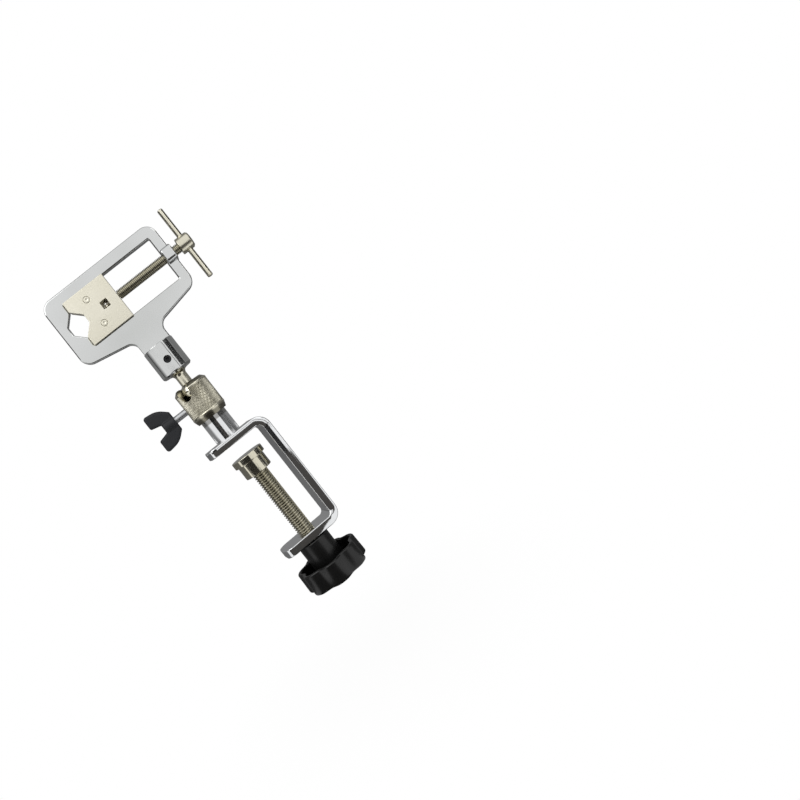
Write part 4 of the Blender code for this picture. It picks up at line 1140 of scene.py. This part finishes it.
def bearings(start, end):
    """Points of a unit circle between two bearings, counted in degrees from straight in front towards +X."""
    angles = [math.radians(start + (end - start) * step / CARD_STEPS) for step in range(CARD_STEPS + 1)]
    return [(math.sin(angle), -math.cos(angle)) for angle in angles]


def standing_card(name, start, end, bottom, top, colour):
    vertices = []
    for x, y in bearings(start, end):
        vertices += [(CARD_DISTANCE * x, CARD_DISTANCE * y, z) for z in (bottom, top)]
    faces = [(2 * i, 2 * i + 2, 2 * i + 3, 2 * i + 1) for i in range(CARD_STEPS)]
    card(name, vertices, faces, colour)


def lying_card(name, reach, start, end, colour):
    rim = [(reach * x, reach * y, CARD_FOOT) for x, y in bearings(start, end)]
    faces = [(0, i + 1, i + 2) for i in range(CARD_STEPS)]
    card(name, [(0, 0, CARD_FOOT), *rim], faces, colour)


NECK_SEES = (95 * MM, 185 * MM)
POST_SEES = (-20 * MM, 90 * MM)
ARM_SEES = (-42 * MM, -20 * MM)
PAD_SEES = (CARD_FOOT, -42 * MM)
BAR_SEES = (192 * MM, 360 * MM)
standing_card("bar_card_right", 48, 100, *BAR_SEES, CARD_BLACK)
standing_card("bar_card_left", -100, -38, *BAR_SEES, CARD_BLACK)
standing_card("neck_card_right", 48, 86, *NECK_SEES, CARD_BLACK)
standing_card("neck_card_line", 34, 38, *NECK_SEES, CARD_BLACK)
standing_card("neck_card_left", -106, -99, *NECK_SEES, CARD_BLACK)
standing_card("post_card_left", -37, -20, *POST_SEES, CARD_BLACK)
standing_card("post_card_middle", -20, 5, *POST_SEES, CARD_DARK)
standing_card("post_card_right", 42, 100, *POST_SEES, CARD_GREY)
standing_card("arm_card", -37, 25, *ARM_SEES, CARD_DARK)
standing_card("pad_card_middle", -62, 9, *PAD_SEES, CARD_BLACK)
standing_card("pad_card_right", 58, 100, *PAD_SEES, CARD_BLACK)
lying_card("front_card", CARD_DISTANCE, -50, 26, CARD_DARK)
lying_card("back_card", BACK_CARD_REACH, 75, 285, CARD_GREY)

# Light: one large soft lamp high on the left and in front, a weaker one on the right, and a white
# room all round, which metal sees paler in front than behind.
KEY_PLACE = (-0.55, -0.75, 0.8)
KEY_SIZE = 0.8
KEY_POWER = 4.0
FILL_PLACE = (0.7, -0.5, 0.45)
FILL_SIZE = 0.5
FILL_POWER = 1.0
ROOM_LIGHT = 0.62
WHITE = (1, 1, 1, 1)
WALL_FRONT = -0.3  # of the way towards the back
WALL_BACK = 0.05
FRONT_LIGHT = 0.97
BACK_LIGHT = 0.24
AIM = Vector((0, 0, 0.02))


def lamp(name, place, size, power):
    light = bpy.data.lights.new(name, "AREA")
    light.shape = "SQUARE"
    light.size = size
    light.energy = power
    made = placed(name, light)
    made.location = place
    made.rotation_euler = (AIM - Vector(place)).to_track_quat("-Z", "Y").to_euler()


lamp("key_lamp", KEY_PLACE, KEY_SIZE, KEY_POWER)
lamp("fill_lamp", FILL_PLACE, FILL_SIZE, FILL_POWER)
room = bpy.data.worlds.new("white_room")
bpy.context.scene.world = room
room.use_nodes = True
tree = room.node_tree
tree.nodes.clear()
rays = shade(tree, "LightPath", {}).outputs
way = shade(tree, "TexCoord", {})
parts = shade(tree, "SeparateXYZ", {"Vector": way.outputs["Generated"]})
limits = {"From Min": WALL_FRONT, "From Max": WALL_BACK, "To Min": FRONT_LIGHT, "To Max": BACK_LIGHT}
walls = shade(tree, "MapRange", {"Value": parts.outputs["Y"], **limits})
soft = shade(tree, "Background", {"Color": WHITE, "Strength": ROOM_LIGHT})
seen = shade(tree, "Background", {"Color": WHITE})
mirrored_room = shade(tree, "Background", {"Color": WHITE, "Strength": walls.outputs["Result"]})
mirrored = mirrored_room.outputs["Background"]
layers = {"Fac": rays["Is Glossy Ray"], 1: soft.outputs["Background"], 2: mirrored}
for_metal = shade(tree, "MixShader", layers)
either = {0: rays["Is Camera Ray"], 1: rays["Is Transmission Ray"]}
direct = shade(tree, "Math", either, operation="MAXIMUM")
layers = {"Fac": direct.outputs["Value"], 1: for_metal.outputs["Shader"], 2: seen.outputs["Background"]}
for_camera = shade(tree, "MixShader", layers)
shade(tree, "OutputWorld", {"Surface": for_camera.outputs["Shader"]})

# Camera: straight in front of the vise and rolled, so that the head leans up to the left. The
# frame is shifted, because the vise fills the left part of the picture.
CAMERA_DISTANCE = 0.4
CAMERA_FOOT = Vector((10.0 * MM, 0, 20.0 * MM))
CAMERA_ROLL = 0.667
FRAME_SPAN = 464.8 * MM
IMAGE_SIZE = 800
FOOT_PIXEL = (226.3, 405.2)
SENSOR = 36.0
NEAREST = 10 * MM
lens = bpy.data.cameras.new("camera")
lens.sensor_width = SENSOR
lens.lens = SENSOR * CAMERA_DISTANCE / FRAME_SPAN
lens.shift_x = 0.5 - FOOT_PIXEL[0] / IMAGE_SIZE
lens.shift_y = FOOT_PIXEL[1] / IMAGE_SIZE - 0.5
lens.clip_start = NEAREST
camera = placed("camera", lens)
facing = Matrix.Rotation(QUARTER, 4, "X") @ Matrix.Rotation(-CAMERA_ROLL, 4, "Z")
camera.matrix_world = Matrix.Translation(CAMERA_FOOT - Vector((0, CAMERA_DISTANCE, 0))) @ facing
bpy.context.scene.camera = camera
bpy.context.scene.view_settings.view_transform = "Standard"
